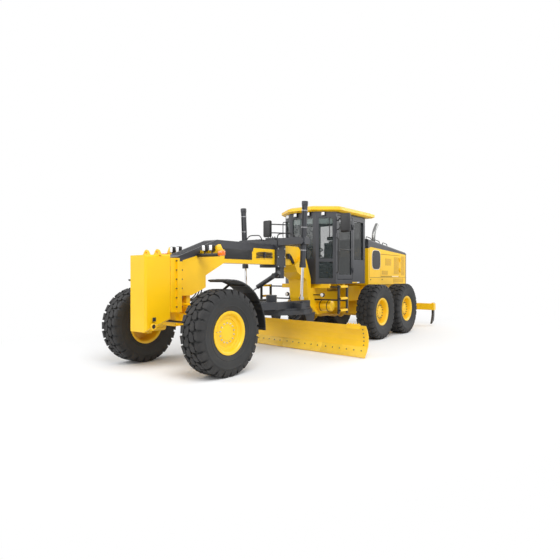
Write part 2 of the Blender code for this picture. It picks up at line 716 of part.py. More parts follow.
def lean_yoke_mesh():
    """The left yoke: ears on the lean pivot, upright plate, kingpin boss and lean bar lugs."""
    pivot = Vector((FRONT_X, LEAN_PIVOT_Y, LEAN_PIVOT_Z))
    inside = LEAN_BARREL_LENGTH / 2 + SEAT_GAP
    outside = inside + YOKE_EAR
    plate_out = YOKE_PLATE_Y + YOKE_PLATE_THICK
    height = LEAN_BARREL_RADIUS
    parts = []
    for sign in (1, -1):
        middle = pivot + X_AXIS * sign * (inside + YOKE_EAR / 2)
        parts.append(bar(middle, X_AXIS, height, YOKE_EAR))
        parts.append(box((middle.x - YOKE_EAR / 2, LEAN_PIVOT_Y, LEAN_PIVOT_Z - height),
                         (middle.x + YOKE_EAR / 2, plate_out, LEAN_PIVOT_Z + height)))
    half = YOKE_PLATE_WIDTH / 2
    wide = box((FRONT_X - outside, YOKE_PLATE_Y, LEAN_PIVOT_Z - height),
               (FRONT_X + outside, plate_out, LEAN_PIVOT_Z + height))
    tall = box((FRONT_X - half, YOKE_PLATE_Y, LEAN_PIVOT_Z - height),
               (FRONT_X + half, plate_out, YOKE_TOP))
    boss = bar((FRONT_X, KINGPIN_Y, TYRE_RADIUS), Z_AXIS, KINGPIN_RADIUS, KINGPIN_LENGTH, ROUND)
    web = box((FRONT_X - KINGPIN_RADIUS, plate_out - FUSE_DEPTH, LEAN_PIVOT_Z - height),
              (FRONT_X + KINGPIN_RADIUS, KINGPIN_Y, LEAN_PIVOT_Z + height))
    lug_in = LEAN_EYE_THICK / 2 + SEAT_GAP
    lug_out = YOKE_PLATE_WIDTH / 2
    lugs = [box((FRONT_X + min(sign * lug_in, sign * lug_out), LEAN_PIVOT_Y, LEAN_BAR_Z - LEAN_EYE_RADIUS),
                (FRONT_X + max(sign * lug_in, sign * lug_out), YOKE_PLATE_Y + FUSE_DEPTH, YOKE_TOP))
            for sign in (1, -1)]
    return fuse(wide, tall, *parts, web, boss, *lugs)


def knuckle_mesh():
    """The left knuckle: ears over and under the kingpin boss, spindle and steering arm."""
    low = TYRE_RADIUS - KINGPIN_LENGTH / 2 - SEAT_GAP
    high = TYRE_RADIUS + KINGPIN_LENGTH / 2 + SEAT_GAP
    plate = KINGPIN_Y + KINGPIN_RADIUS + CUT_OVERRUN
    plate_out = plate + KNUCKLE_PLATE_THICK
    half = KNUCKLE_EAR_RADIUS
    parts = []
    for start, end in ((low - KNUCKLE_EAR, low), (high, high + KNUCKLE_EAR)):
        parts.append(rod((FRONT_X, KINGPIN_Y, start), (FRONT_X, KINGPIN_Y, end), half, ROUND))
        parts.append(box((FRONT_X - half, KINGPIN_Y, start), (FRONT_X + half, plate_out, end)))
    upright = box((FRONT_X - half, plate, low - KNUCKLE_EAR), (FRONT_X + half, plate_out, high + KNUCKLE_EAR))
    seat = WHEEL_Y + FRONT_DISC_OFFSET - DISC_THICK - SEAT_GAP
    parts.append(rod((FRONT_X, plate_out - FUSE_DEPTH, TYRE_RADIUS), (FRONT_X, seat, TYRE_RADIUS),
                     SPINDLE_RADIUS, ROUND))
    parts.append(rod((FRONT_X, seat - DISC_THICK, TYRE_RADIUS), (FRONT_X, seat, TYRE_RADIUS),
                     HUB_RADIUS, ROUND))
    tip = STEER_ARM_LENGTH - STEER_ARM_WIDTH / 2
    arm_half = STEER_ARM_WIDTH / 2
    parts.append(box((FRONT_X, KINGPIN_Y - arm_half, high), (FRONT_X + tip, KINGPIN_Y + arm_half,
                                                           high + KNUCKLE_EAR)))
    parts.append(rod((FRONT_X + tip, KINGPIN_Y, high), (FRONT_X + tip, KINGPIN_Y, high + KNUCKLE_EAR),
                     arm_half, SMALL_ROUND))
    return fuse(upright, *parts)


def lean_and_steering():
    """Yokes, knuckles, lean bar and tie rod."""
    lean_pivot = Vector((FRONT_X, LEAN_PIVOT_Y, LEAN_PIVOT_Z))
    kingpin = Vector((FRONT_X, KINGPIN_Y, TYRE_RADIUS))
    yokes = both_sides(lean_yoke_mesh())
    knuckles = both_sides(knuckle_mesh())
    for hand, side, yoke, knuckle in zip(("left", "right"), (1, -1), yokes, knuckles):
        flip = Vector((1, side, 1))
        piece(f"lean_yoke_{hand}", yoke, YELLOW, lean_pivot * flip)
        piece(f"knuckle_{hand}", knuckle, YELLOW, kingpin * flip)
    eye_y = LEAN_PIVOT_Y + LEAN_EYE_RADIUS / 2
    eye = bar((FRONT_X, eye_y, LEAN_BAR_Z), X_AXIS, LEAN_EYE_RADIUS, LEAN_EYE_THICK, ROUND)
    bar_mesh = rod((FRONT_X, -eye_y, LEAN_BAR_Z), (FRONT_X, eye_y, LEAN_BAR_Z), LEAN_BAR_RADIUS)
    piece("lean_bar", fuse(bar_mesh, *both_sides(eye)), YELLOW)
    tie_x = FRONT_X + STEER_ARM_LENGTH + TIE_ROD_RADIUS + SEAT_GAP
    tie_z = TYRE_RADIUS + (KINGPIN_LENGTH + KNUCKLE_EAR) / 2 + SEAT_GAP
    tie_y = KINGPIN_Y - 0.4 * STEER_ARM_WIDTH
    piece("tie_rod", rod((tie_x, -tie_y, tie_z), (tie_x, tie_y, tie_z), TIE_ROD_RADIUS), BLACK)


def fenders():
    """Front fenders that turn with the knuckles, each on a bent tube stay."""
    inner = KINGPIN_Y + STEER_ARM_WIDTH
    steps = [FENDER_START + (FENDER_END - FENDER_START) * i / FENDER_STEPS
             for i in range(FENDER_STEPS + 1)]
    outer_arc = [(FRONT_X + math.cos(a) * (FENDER_RADIUS + FENDER_THICK),
                  TYRE_RADIUS + math.sin(a) * (FENDER_RADIUS + FENDER_THICK)) for a in steps]
    inner_arc = [(FRONT_X + math.cos(a) * FENDER_RADIUS,
                  TYRE_RADIUS + math.sin(a) * FENDER_RADIUS) for a in reversed(steps)]
    shell = prism(outer_arc + inner_arc, inner, inner + FENDER_WIDTH)
    foot_z = TYRE_RADIUS + KINGPIN_LENGTH / 2 + KNUCKLE_EAR + 2 * SEAT_GAP
    stay_y = KINGPIN_Y - STEER_ARM_WIDTH / 2
    stay = tube([(FRONT_X - 0.15 * FENDER_RADIUS, KINGPIN_Y, foot_z + FENDER_STAY_RADIUS),
                 (FRONT_X - 0.24 * FENDER_RADIUS, stay_y, foot_z + FENDER_LIP),
                 (FRONT_X - 0.36 * FENDER_RADIUS, stay_y, TYRE_RADIUS + 0.80 * FENDER_RADIUS),
                 (FRONT_X - 0.40 * FENDER_RADIUS, inner + FENDER_LIP,
                  TYRE_RADIUS + 0.925 * FENDER_RADIUS)], FENDER_STAY_RADIUS, SMALL_ROUND)
    foot_half = 1.2 * FENDER_STAY_RADIUS
    foot = box((FRONT_X - KNUCKLE_EAR_RADIUS - 0.12 * FENDER_RADIUS, KINGPIN_Y - foot_half, foot_z),
               (FRONT_X, KINGPIN_Y + foot_half, foot_z + 1.7 * FENDER_STAY_RADIUS))
    kingpin = Vector((FRONT_X, KINGPIN_Y, TYRE_RADIUS))
    meshes = both_sides(fuse(shell, stay, foot))
    for hand, side, mesh in zip(("left", "right"), (1, -1), meshes):
        piece(f"fender_{hand}", mesh, BLACK, kingpin * Vector((1, side, 1)))


def saddle():
    """The casting round the neck with its trunnion forks and the hanger below."""
    half_x = SADDLE_LENGTH / 2
    neck = NECK_WIDTH / 2 + SEAT_GAP
    side = neck + SADDLE_WALL
    body = box((SADDLE_X - half_x, -side, NECK_BOTTOM - SADDLE_WALL),
               (SADDLE_X + half_x, side, SADDLE_TOP))
    slot = box((SADDLE_X - SADDLE_LENGTH, -neck, NECK_BOTTOM - SEAT_GAP),
               (SADDLE_X + SADDLE_LENGTH, neck, NECK_TOP + SEAT_GAP))
    inside = TRUNNION_WIDTH / 2 + SEAT_GAP
    outside = inside + SADDLE_ARM_THICK
    low, high = TRUNNION_Z - SADDLE_ARM_HEIGHT / 2, TRUNNION_Z + SADDLE_ARM_HEIGHT / 2
    root = TRUNNION_Y - 1.9 * TRUNNION_RADIUS
    arm = box((SADDLE_X - outside, side - FUSE_DEPTH, low), (SADDLE_X + outside, root, high))
    forks = []
    for sign in (1, -1):
        middle = SADDLE_X + sign * (inside + SADDLE_ARM_THICK / 2)
        forks.append(box((middle - SADDLE_ARM_THICK / 2, root - FUSE_DEPTH, low),
                         (middle + SADDLE_ARM_THICK / 2, TRUNNION_Y, high)))
        forks.append(bar((middle, TRUNNION_Y, TRUNNION_Z), X_AXIS, SADDLE_ARM_HEIGHT / 2,
                         SADDLE_ARM_THICK, ROUND))
    wing = fuse(arm, *forks)
    shift_x = SADDLE_X + SHIFT_AHEAD
    hanger_ahead = shift_x - SHIFT_TUBE_RADIUS
    hanger = box((hanger_ahead - half_x, SHIFT_PIVOT_Y - HANGER_WIDTH / 2, HANGER_BOTTOM),
                 (hanger_ahead - SEAT_GAP, SHIFT_PIVOT_Y + HANGER_WIDTH / 2,
                  NECK_BOTTOM - SADDLE_WALL + FUSE_DEPTH))
    return piece("saddle", carve(fuse(body, *both_sides(wing), hanger), slot), CHARCOAL)


def lift_cylinders():
    """Blade lift cylinders in their trunnions, with rods down to the drawbar's studs."""
    trunnion = Vector((SADDLE_X, TRUNNION_Y, TRUNNION_Z))
    eye = Vector((SADDLE_X, LIFT_EYE_Y, LIFT_EYE_Z))
    down = (eye - trunnion).normalized()
    top, mouth = trunnion - down * LIFT_TUBE_ABOVE, trunnion + down * LIFT_TUBE_BELOW
    collar = block(trunnion, (TRUNNION_WIDTH, 2 * TRUNNION_RADIUS, 1.6 * TRUNNION_RADIUS))
    head = rod(mouth - down * ROD_GUIDE, mouth, 1.15 * LIFT_TUBE_RADIUS, ROUND)
    bore = rod(top + down * TUBE_WALL, mouth + down * CUT_OVERRUN, LIFT_ROD_RADIUS + SEAT_GAP, ROUND)
    outer = rod(top, mouth, LIFT_TUBE_RADIUS, ROUND)
    tube_mesh = carve(fuse(outer, collar, head), bore)
    inner = mouth - down * 0.58 * (LIFT_TUBE_ABOVE + LIFT_TUBE_BELOW)
    rod_mesh = fuse(rod(inner, eye, LIFT_ROD_RADIUS, ROUND),
                    bar(eye, Z_AXIS, EYE_BALL_RADIUS, 1.2 * EYE_BALL_RADIUS, ROUND))
    for hand, side, tube_side, rod_side in zip(("left", "right"), (1, -1), both_sides(tube_mesh),
                                               both_sides(rod_mesh)):
        pivot = trunnion * Vector((1, side, 1))
        piece(f"lift_tube_{hand}", tube_side, CHARCOAL, pivot)
        piece(f"lift_rod_{hand}", rod_side, CHROME, pivot)


def shift_cylinder():
    """Circle side-shift cylinder on its two-way joint under the saddle."""
    x = SADDLE_X + SHIFT_AHEAD
    pivot = Vector((x, SHIFT_PIVOT_Y, SHIFT_PIVOT_Z))
    half = SHIFT_TUBE_RADIUS
    cross = bar(pivot - X_AXIS * half / 2, X_AXIS, half, half - SEAT_GAP, ROUND)
    piece("shift_cross", cross, STEEL, pivot)
    start = pivot + X_AXIS * half
    eye = Vector((start.x, SHIFT_EYE_Y, SHIFT_EYE_Z))
    along = (eye - start).normalized()
    reach = (eye - start).length
    mouth = start + along * 0.60 * reach
    back = start - along * 0.15 * reach
    outer = rod(back, mouth, SHIFT_TUBE_RADIUS - SEAT_GAP, ROUND)
    barrel = rod(pivot + X_AXIS * SEAT_GAP / 2, start + X_AXIS * half, half, ROUND)
    bore = rod(back + along * TUBE_WALL, mouth + along * CUT_OVERRUN, SHIFT_ROD_RADIUS + SEAT_GAP, ROUND)
    piece("shift_tube", carve(fuse(outer, barrel), bore), CHARCOAL, pivot)
    inner = start + along * 0.17 * reach
    piece("shift_rod", capped_rod(inner, eye, SHIFT_ROD_RADIUS, EYE_BALL_RADIUS, X_AXIS,
                                  EYE_BALL_RADIUS), CHROME, pivot)


def swing_block():
    """The block in the frame's fork that the drawbar's nose is pinned to."""
    half = SWING_BLOCK_WIDTH / 2
    pivot = Vector((BALL_X, 0, BALL_HEIGHT))
    mesh = block(pivot, (2 * half, 2 * half - SEAT_GAP, SWING_BLOCK_HEIGHT))
    return piece("swing_block", mesh, STEEL, pivot)


def drawbar():
    """The A-shaped drawbar with its nose ears, circle plate, studs and turn motor."""
    ear_in = SWING_BLOCK_WIDTH / 2 + SEAT_GAP
    ear_out = ear_in + DRAW_EAR_THICK
    beam_low = CIRCLE_BOTTOM + CIRCLE_THICK + DRAW_PLATE_THICK
    cross_top = beam_low + 0.11
    tail = CIRCLE_X - 0.80 * DRAW_PLATE_INNER
    root = BALL_X - 1.7 * DRAW_NOSE_RADIUS
    spread_x = CIRCLE_X + DRAW_PLATE_OUTER
    half = DRAW_BEAM_WIDTH / 2
    side_beam = prism([(root, ear_in), (root, ear_out), (spread_x, DRAW_SPREAD + half),
                       (tail, DRAW_SPREAD + half), (tail, DRAW_SPREAD - half),
                       (spread_x - half, DRAW_SPREAD - half)], beam_low, DRAW_BEAM_TOP, "Z")
    ear = fuse(bar((BALL_X, (ear_in + ear_out) / 2, BALL_HEIGHT), Y_AXIS, DRAW_NOSE_RADIUS,
                   DRAW_EAR_THICK, ROUND),
               box((root - 3 * DRAW_EAR_THICK, ear_in, BALL_HEIGHT - DRAW_EAR_THICK),
                   (BALL_X, ear_out, BALL_HEIGHT + DRAW_EAR_THICK)))
    wing = fuse(side_beam, ear)
    ring_low = CIRCLE_BOTTOM + CIRCLE_THICK + SEAT_GAP
    ring = turned([(DRAW_PLATE_INNER, 0), (DRAW_PLATE_OUTER, 0),
                   (DRAW_PLATE_OUTER, DRAW_PLATE_THICK), (DRAW_PLATE_INNER, DRAW_PLATE_THICK)],
                  (CIRCLE_X, 0, ring_low), Z_AXIS, WIDE_ROUND)
    cross = box((SADDLE_X - CROSS_BEAM_WIDTH / 2, -CROSS_BEAM_LENGTH / 2, beam_low - FUSE_DEPTH),
                (SADDLE_X + CROSS_BEAM_WIDTH / 2, CROSS_BEAM_LENGTH / 2, cross_top))
    throat = box((spread_x, -DRAW_SPREAD, beam_low), (spread_x + DRAW_BEAM_WIDTH, DRAW_SPREAD, cross_top))
    stud_top = LIFT_EYE_Z - EYE_BALL_RADIUS - MOVE_GAP
    stud = rod((SADDLE_X, LIFT_EYE_Y, cross_top - FUSE_DEPTH), (SADDLE_X, LIFT_EYE_Y, stud_top),
               0.7 * EYE_BALL_RADIUS, SMALL_ROUND)
    tower_x = SADDLE_X + SHIFT_AHEAD + SHIFT_TUBE_RADIUS
    tower_top = SHIFT_EYE_Z - EYE_BALL_RADIUS - MOVE_GAP
    tower = prism([(SHIFT_EYE_Y - 0.9 * EYE_BALL_RADIUS, tower_top),
                   (SHIFT_EYE_Y + 0.9 * EYE_BALL_RADIUS, tower_top),
                   (SHIFT_EYE_Y + 2 * EYE_BALL_RADIUS, beam_low + FUSE_DEPTH),
                   (SHIFT_EYE_Y - 2 * EYE_BALL_RADIUS, beam_low + FUSE_DEPTH)],
                  tower_x - 0.8 * EYE_BALL_RADIUS, tower_x + 0.8 * EYE_BALL_RADIUS, "X")
    tower_foot = box((SADDLE_X, SHIFT_EYE_Y - 2 * EYE_BALL_RADIUS, beam_low + FUSE_DEPTH),
                     (tower_x + EYE_BALL_RADIUS, SHIFT_EYE_Y + 2 * EYE_BALL_RADIUS, cross_top))
    motor_x = CIRCLE_X + 0.5 * DRAW_PLATE_OUTER + TURN_MOTOR_RADIUS
    motor_y = 0.42 * DRAW_SPREAD
    motor = rod((motor_x, motor_y, ring_low + FUSE_DEPTH), (motor_x, motor_y, TURN_MOTOR_TOP),
                TURN_MOTOR_RADIUS, ROUND)
    motor_base = box((motor_x - TURN_MOTOR_RADIUS, -DRAW_SPREAD, ring_low + FUSE_DEPTH / 2),
                     (spread_x + FUSE_DEPTH, DRAW_SPREAD, ring_low + DRAW_PLATE_THICK + FUSE_DEPTH))
    mesh = fuse(ring, motor_base, *both_sides(wing), cross, throat, *both_sides(stud), tower_foot,
                tower, motor)
    return piece("drawbar", mesh, CHARCOAL, (BALL_X, 0, BALL_HEIGHT))


def circle():
    """The toothed ring with its two arms and the blade tilt cylinder's tube."""
    ring = turned([(CIRCLE_INNER, 0), (CIRCLE_RADIUS, 0), (CIRCLE_RADIUS, CIRCLE_THICK),
                   (CIRCLE_INNER, CIRCLE_THICK)], (CIRCLE_X, 0, CIRCLE_BOTTOM), Z_AXIS, WIDE_ROUND)
    pivot_x = CIRCLE_X + TILT_PIVOT_AHEAD
    top = CIRCLE_BOTTOM + FUSE_DEPTH
    wide = 1.9 * TILT_PIVOT_RADIUS
    outline = [(pivot_x - 0.8 * TILT_PIVOT_RADIUS, TILT_PIVOT_Z),
               (pivot_x + 0.8 * TILT_PIVOT_RADIUS, TILT_PIVOT_Z),
               (pivot_x + wide, TILT_PIVOT_Z + 0.6 * (top - TILT_PIVOT_Z)),
               (pivot_x + 1.6 * wide, top), (pivot_x - 1.4 * wide, top)]
    arm_in = ARM_Y - ARM_THICK / 2
    arm = fuse(prism(outline, arm_in, ARM_Y + ARM_THICK / 2),
               bar((pivot_x, ARM_Y, TILT_PIVOT_Z), Y_AXIS, TILT_PIVOT_RADIUS, ARM_THICK, ROUND))
    start = Vector((CIRCLE_X + TILT_TOP_AHEAD, 0, TILT_TOP_Z))
    eye = Vector((CIRCLE_X + TILT_EYE_AHEAD, 0, TILT_EYE_Z))
    along = (eye - start).normalized()
    mouth = start + along * 0.76 * (eye - start).length
    lug = box((start.x - TILT_TUBE_RADIUS / 2, -TILT_TUBE_RADIUS / 2, TILT_TOP_Z),
              (CIRCLE_X - 0.9 * CIRCLE_RADIUS, TILT_TUBE_RADIUS / 2, top))
    outer = rod(start, mouth, TILT_TUBE_RADIUS, ROUND)
    bore = rod(start + along * TUBE_WALL, mouth + along * CUT_OVERRUN, TILT_ROD_RADIUS + SEAT_GAP, ROUND)
    mesh = carve(fuse(ring, *both_sides(arm), lug, outer), bore)
    piece("circle", in_blade_frame(moved(mesh, Matrix.Translation((-CIRCLE_X, 0, 0)))), CHARCOAL,
          (CIRCLE_X, 0, CIRCLE_BOTTOM))
    inner = start + along * 3 * TUBE_WALL
    rod_mesh = capped_rod(inner, eye, TILT_ROD_RADIUS, 1.3 * TILT_ROD_RADIUS, Y_AXIS, 2.2 * TILT_ROD_RADIUS)
    piece("tilt_rod", in_blade_frame(moved(rod_mesh, Matrix.Translation((-CIRCLE_X, 0, 0)))), CHROME,
          blade_place(TILT_EYE_AHEAD, 0, TILT_EYE_Z))


def blade_face(height):
    """How far ahead of the circle's centre the blade's face lies at a height."""
    half = (BLADE_HEIGHT - BLADE_CLEARANCE) / 2
    share = (height - BLADE_CLEARANCE) / half - 1
    return BLADE_FOOT_AHEAD - BLADE_DEPTH * (1 - share * share + BLADE_LEAN * (share + 1))


def blade_back():
    """How far ahead of the circle's centre the blade's back reaches."""
    return BLADE_FOOT_AHEAD - BLADE_DEPTH * (1 + BLADE_LEAN + BLADE_LEAN * BLADE_LEAN / 4) - BLADE_THICK


def blade():
    """The curved blade with its cutting edge, slide rails and side-shift rod."""
    heights = [BLADE_CLEARANCE + (BLADE_HEIGHT - BLADE_CLEARANCE) * i / BLADE_ARC_STEPS
               for i in range(BLADE_ARC_STEPS + 1)]
    section = [(blade_face(z), z) for z in heights]
    section += [(blade_face(z) - BLADE_THICK, z) for z in reversed(heights)]
    half = BLADE_LENGTH / 2
    board = prism(section, -half, half)
    back = blade_back()
    parts = []
    for z in (UPPER_RAIL_Z, LOWER_RAIL_Z):
        low, high = z - RAIL_HEIGHT / 2, z + RAIL_HEIGHT / 2
        parts.append(prism([(back - RAIL_DEPTH, low), (blade_face(low) - BLADE_THICK / 2, low),
                            (blade_face(high) - BLADE_THICK / 2, high), (back - RAIL_DEPTH, high)],
                           -RAIL_LENGTH / 2, RAIL_LENGTH / 2))
    x = cylinder_x()
    parts.append(box((x - SHIFT_CYL_RADIUS, SHIFT_LUG_Y - RAIL_DEPTH / 2, SHIFT_CYL_Z - SHIFT_CYL_RADIUS),
                     (back + BLADE_THICK / 2, SHIFT_LUG_Y + RAIL_DEPTH / 2, SHIFT_CYL_Z + SHIFT_CYL_RADIUS)))
    inner = SHIFT_CYL_RIGHT + 0.5 * (SHIFT_CYL_LEFT - SHIFT_CYL_RIGHT)
    parts.append(rod((x, SHIFT_LUG_Y, SHIFT_CYL_Z), (x, inner, SHIFT_CYL_Z), BLADE_ROD_RADIUS, ROUND))
    centred = Matrix.Translation((0, math.tan(-BLADE_YAW) * (back + BLADE_FOOT_AHEAD) / 2, 0))
    mesh = moved(fuse(board, *parts), centred)
    return piece("blade", in_blade_frame(mesh), YELLOW, blade_place(back, 0, SHIFT_CYL_Z))


def cylinder_x():
    """How far ahead of the circle's centre the side-shift cylinder lies."""
    return blade_back() - SHIFT_CYL_RADIUS - 2 * MOVE_GAP


def blade_bracket():
    """The tilting bracket whose jaws hold the blade's rails."""
    back = blade_back()
    front = back - 1.3 * MOVE_GAP
    low = LOWER_RAIL_Z - RAIL_HEIGHT / 2 - JAW_DEPTH
    high = UPPER_RAIL_Z + RAIL_HEIGHT / 2 + JAW_DEPTH
    outer = ARM_Y - ARM_THICK / 2 - SEAT_GAP
    rear = TILT_PIVOT_AHEAD - TILT_PIVOT_RADIUS
    outline = [(rear, TILT_PIVOT_Z - TILT_PIVOT_RADIUS), (TILT_PIVOT_AHEAD, low), (front, low),
               (front, high), (TILT_PIVOT_AHEAD, high), (rear, TILT_PIVOT_Z + TILT_PIVOT_RADIUS)]
    cheek = prism(outline, outer - JAW_WIDTH, outer)
    x = cylinder_x()
    cylinder = rod((x, SHIFT_CYL_RIGHT, SHIFT_CYL_Z), (x, SHIFT_CYL_LEFT, SHIFT_CYL_Z),
                   SHIFT_CYL_RADIUS, ROUND)
    tie_z = TILT_EYE_Z - 2.2 * TILT_TUBE_RADIUS
    tie = box((rear, -outer, tie_z - TILT_TUBE_RADIUS / 2),
              (TILT_PIVOT_AHEAD + TILT_TUBE_RADIUS, outer, tie_z + TILT_TUBE_RADIUS / 2))
    eye_side = 1.1 * TILT_ROD_RADIUS + SEAT_GAP
    lug = box((TILT_EYE_AHEAD - TILT_TUBE_RADIUS, eye_side, tie_z),
              (TILT_EYE_AHEAD + TILT_TUBE_RADIUS / 2, eye_side + TILT_TUBE_RADIUS,
               TILT_EYE_Z + TILT_TUBE_RADIUS / 2))
    slots = [box((back - RAIL_DEPTH - SEAT_GAP, -BLADE_LENGTH, z - RAIL_HEIGHT / 2 - SEAT_GAP),
                 (0, BLADE_LENGTH, z + RAIL_HEIGHT / 2 + SEAT_GAP)) for z in (UPPER_RAIL_Z, LOWER_RAIL_Z)]
    bore = rod((x, SHIFT_CYL_RIGHT - CUT_OVERRUN, SHIFT_CYL_Z),
               (x, SHIFT_CYL_LEFT - TUBE_WALL, SHIFT_CYL_Z), BLADE_ROD_RADIUS + SEAT_GAP, ROUND)
    mesh = carve(fuse(cylinder, *both_sides(cheek), tie, lug), *slots, bore)
    return piece("blade_bracket", in_blade_frame(mesh), CHARCOAL,
                 blade_place(TILT_PIVOT_AHEAD, 0, TILT_PIVOT_Z))


def cab_plan(inset):
    """The cab's floor plan, drawn in by an inset."""
    half = CAB_HALF - inset
    nose = CAB_NOSE_WIDTH / 2 - 0.8 * inset
    rear, front = CAB_REAR_X + inset, CAB_FRONT_X - 0.4 * inset
    tip = CAB_NOSE_X - inset
    return [(rear, -half), (front, -half), (tip, -nose), (tip, nose), (front, half), (rear, half)]


def angled_cut(low, high):
    """A cutter through the left angled front face."""
    start = Vector((CAB_FRONT_X, CAB_HALF))
    end = Vector((CAB_NOSE_X, CAB_NOSE_WIDTH / 2))
    along = (end - start).normalized()
    across = Vector((along.y, -along.x))
    a, b = start + along * PILLAR, end - along * PILLAR
    reach = across * 2 * CAB_WALL
    return prism([tuple(a - reach), tuple(b - reach), tuple(b + reach), tuple(a + reach)],
                 low, high, "Z")


def cab_shell():
    """The hollow cab with its windows and door openings cut and the hinge pins on its posts."""
    roof_low = CAB_TOP - CAB_WALL
    shell = carve(prism(cab_plan(0), CAB_FLOOR, CAB_TOP, "Z"),
                  prism(cab_plan(CAB_WALL), CAB_FLOOR + CAB_FLOOR_THICK, roof_low, "Z"))
    nose = CAB_NOSE_WIDTH / 2 - PILLAR
    door_rear = ARTIC_X - DOOR_REAR_BEHIND
    cuts = [box((CAB_NOSE_X - 2 * CAB_WALL, -nose, WINDOW_BOTTOM), (CAB_NOSE_X + CAB_WALL, nose, WINDOW_TOP)),
            *both_sides(angled_cut(WINDOW_BOTTOM, WINDOW_TOP)),
            *both_sides(angled_cut(LOWER_WINDOW_BOTTOM, LOWER_WINDOW_TOP)),
            box((CAB_REAR_X - CAB_WALL, -CAB_HALF + 1.6 * PILLAR, REAR_WINDOW_BOTTOM),
                (CAB_REAR_X + 2 * CAB_WALL, CAB_HALF - 1.6 * PILLAR, WINDOW_TOP)),
            box((CAB_REAR_X + 1.2 * PILLAR, -CAB_WIDTH, WINDOW_BOTTOM),
                (door_rear - PILLAR, CAB_WIDTH, WINDOW_TOP)),
            box((door_rear, -CAB_WIDTH, DOOR_BOTTOM), (door_rear + DOOR_LENGTH, CAB_WIDTH, DOOR_TOP))]
    hinges = [hinge_post(door_rear, CAB_HALF, z) for z in door_hinge_heights()]
    fixings = [mesh for hinge in hinges for mesh in both_sides(hinge)]
    return piece("cab_shell", fuse(carve(shell, *cuts), *fixings, *mirrors()), CHARCOAL)


def door_hinge_heights():
    """Heights of the cab doors' two hinges."""
    height = DOOR_TOP - DOOR_BOTTOM
    return DOOR_BOTTOM + 0.15 * height, DOOR_BOTTOM + 0.85 * height


def hinge_post(x, y, z):
    """The fixed half of a left hinge: a pin below height z, with its leaf behind the opening."""
    axis = Vector((x + MOVE_GAP / 2, y + HINGE_RADIUS, z))
    pin = rod(axis - Z_AXIS * HINGE_HEIGHT, axis, HINGE_RADIUS, SMALL_ROUND)
    leaf = box((x - 3 * HINGE_RADIUS, y - FUSE_DEPTH, z - HINGE_HEIGHT),
               (axis.x, y + HINGE_RADIUS, z))
    return fuse(leaf, pin)


def hinge_leaf(x, y, z):
    """The moving half of a left hinge, standing on the fixed half."""
    axis = Vector((x + MOVE_GAP / 2, y + HINGE_RADIUS, z + SEAT_GAP))
    pin = rod(axis, axis + Z_AXIS * HINGE_HEIGHT, HINGE_RADIUS, SMALL_ROUND)
    leaf = box((axis.x, y - FUSE_DEPTH, z + SEAT_GAP),
               (axis.x + 3 * HINGE_RADIUS, y + HINGE_RADIUS, z + SEAT_GAP + HINGE_HEIGHT))
    return fuse(leaf, pin)


def hinge_axis(x, y, z):
    """A point on the axis of a left hinge."""
    return Vector((x + MOVE_GAP / 2, y + HINGE_RADIUS, z))


def cab_doors():
    """Glazed doors hinged on the posts behind the driver's shoulder."""
    rear = ARTIC_X - DOOR_REAR_BEHIND
    low = Vector((rear + MOVE_GAP, CAB_HALF - DOOR_THICK, DOOR_BOTTOM + MOVE_GAP))
    high = Vector((rear + DOOR_LENGTH - MOVE_GAP, CAB_HALF, DOOR_TOP - MOVE_GAP))
    edge = Vector((DOOR_FRAME, -CUT_OVERRUN, DOOR_SILL))
    window_low = low + edge
    window_high = high - Vector((DOOR_FRAME, -CUT_OVERRUN, DOOR_FRAME))
    frame = carve(box(low, high), box(window_low, window_high))
    frame = fuse(frame, *[hinge_leaf(rear, CAB_HALF, z) for z in door_hinge_heights()])
    pivot = hinge_axis(rear, CAB_HALF, DOOR_BOTTOM)
    for hand, side, mesh in zip(("left", "right"), (1, -1), both_sides(frame)):
        piece(f"cab_door_{hand}", mesh, CHARCOAL, pivot * Vector((1, side, 1)))


def cab_roof():
    """The crowned roof cap that overhangs the cab all round."""
    front = CAB_NOSE_X + ROOF_FRONT_HANG
    rear = CAB_REAR_X - ROOF_REAR_HANG
    half = CAB_HALF + ROOF_OVERHANG
    low = CAB_TOP + SEAT_GAP
    top = low + ROOF_THICK
    shape = bmesh.new()
    corner = 0.35 * ROOF_OVERHANG + ROOF_THICK
    plan = [(rear, -half), (CAB_FRONT_X, -half), (front, -half + 3 * corner),
            (front, half - 3 * corner), (CAB_FRONT_X, half), (rear, half)]
    middle = Vector(((front + rear) / 2, 0))
    rows = []
    for inset, height in ((0.06, low), (0, low + 0.25 * ROOF_THICK), (0, low + 0.7 * ROOF_THICK),
                          (0.10, top)):
        rows.append([shape.verts.new((middle.x + (x - middle.x) * (1 - inset),
                                      y * (1 - inset), height)) for x, y in plan])
    shape.faces.new(rows[0])
    shape.faces.new(rows[-1])
    for lower, upper in zip(rows, rows[1:]):
        for i in range(len(plan)):
            j = (i + 1) % len(plan)
            shape.faces.new((lower[i], lower[j], upper[j], upper[i]))
    return piece("cab_roof", closed_mesh(shape), YELLOW)


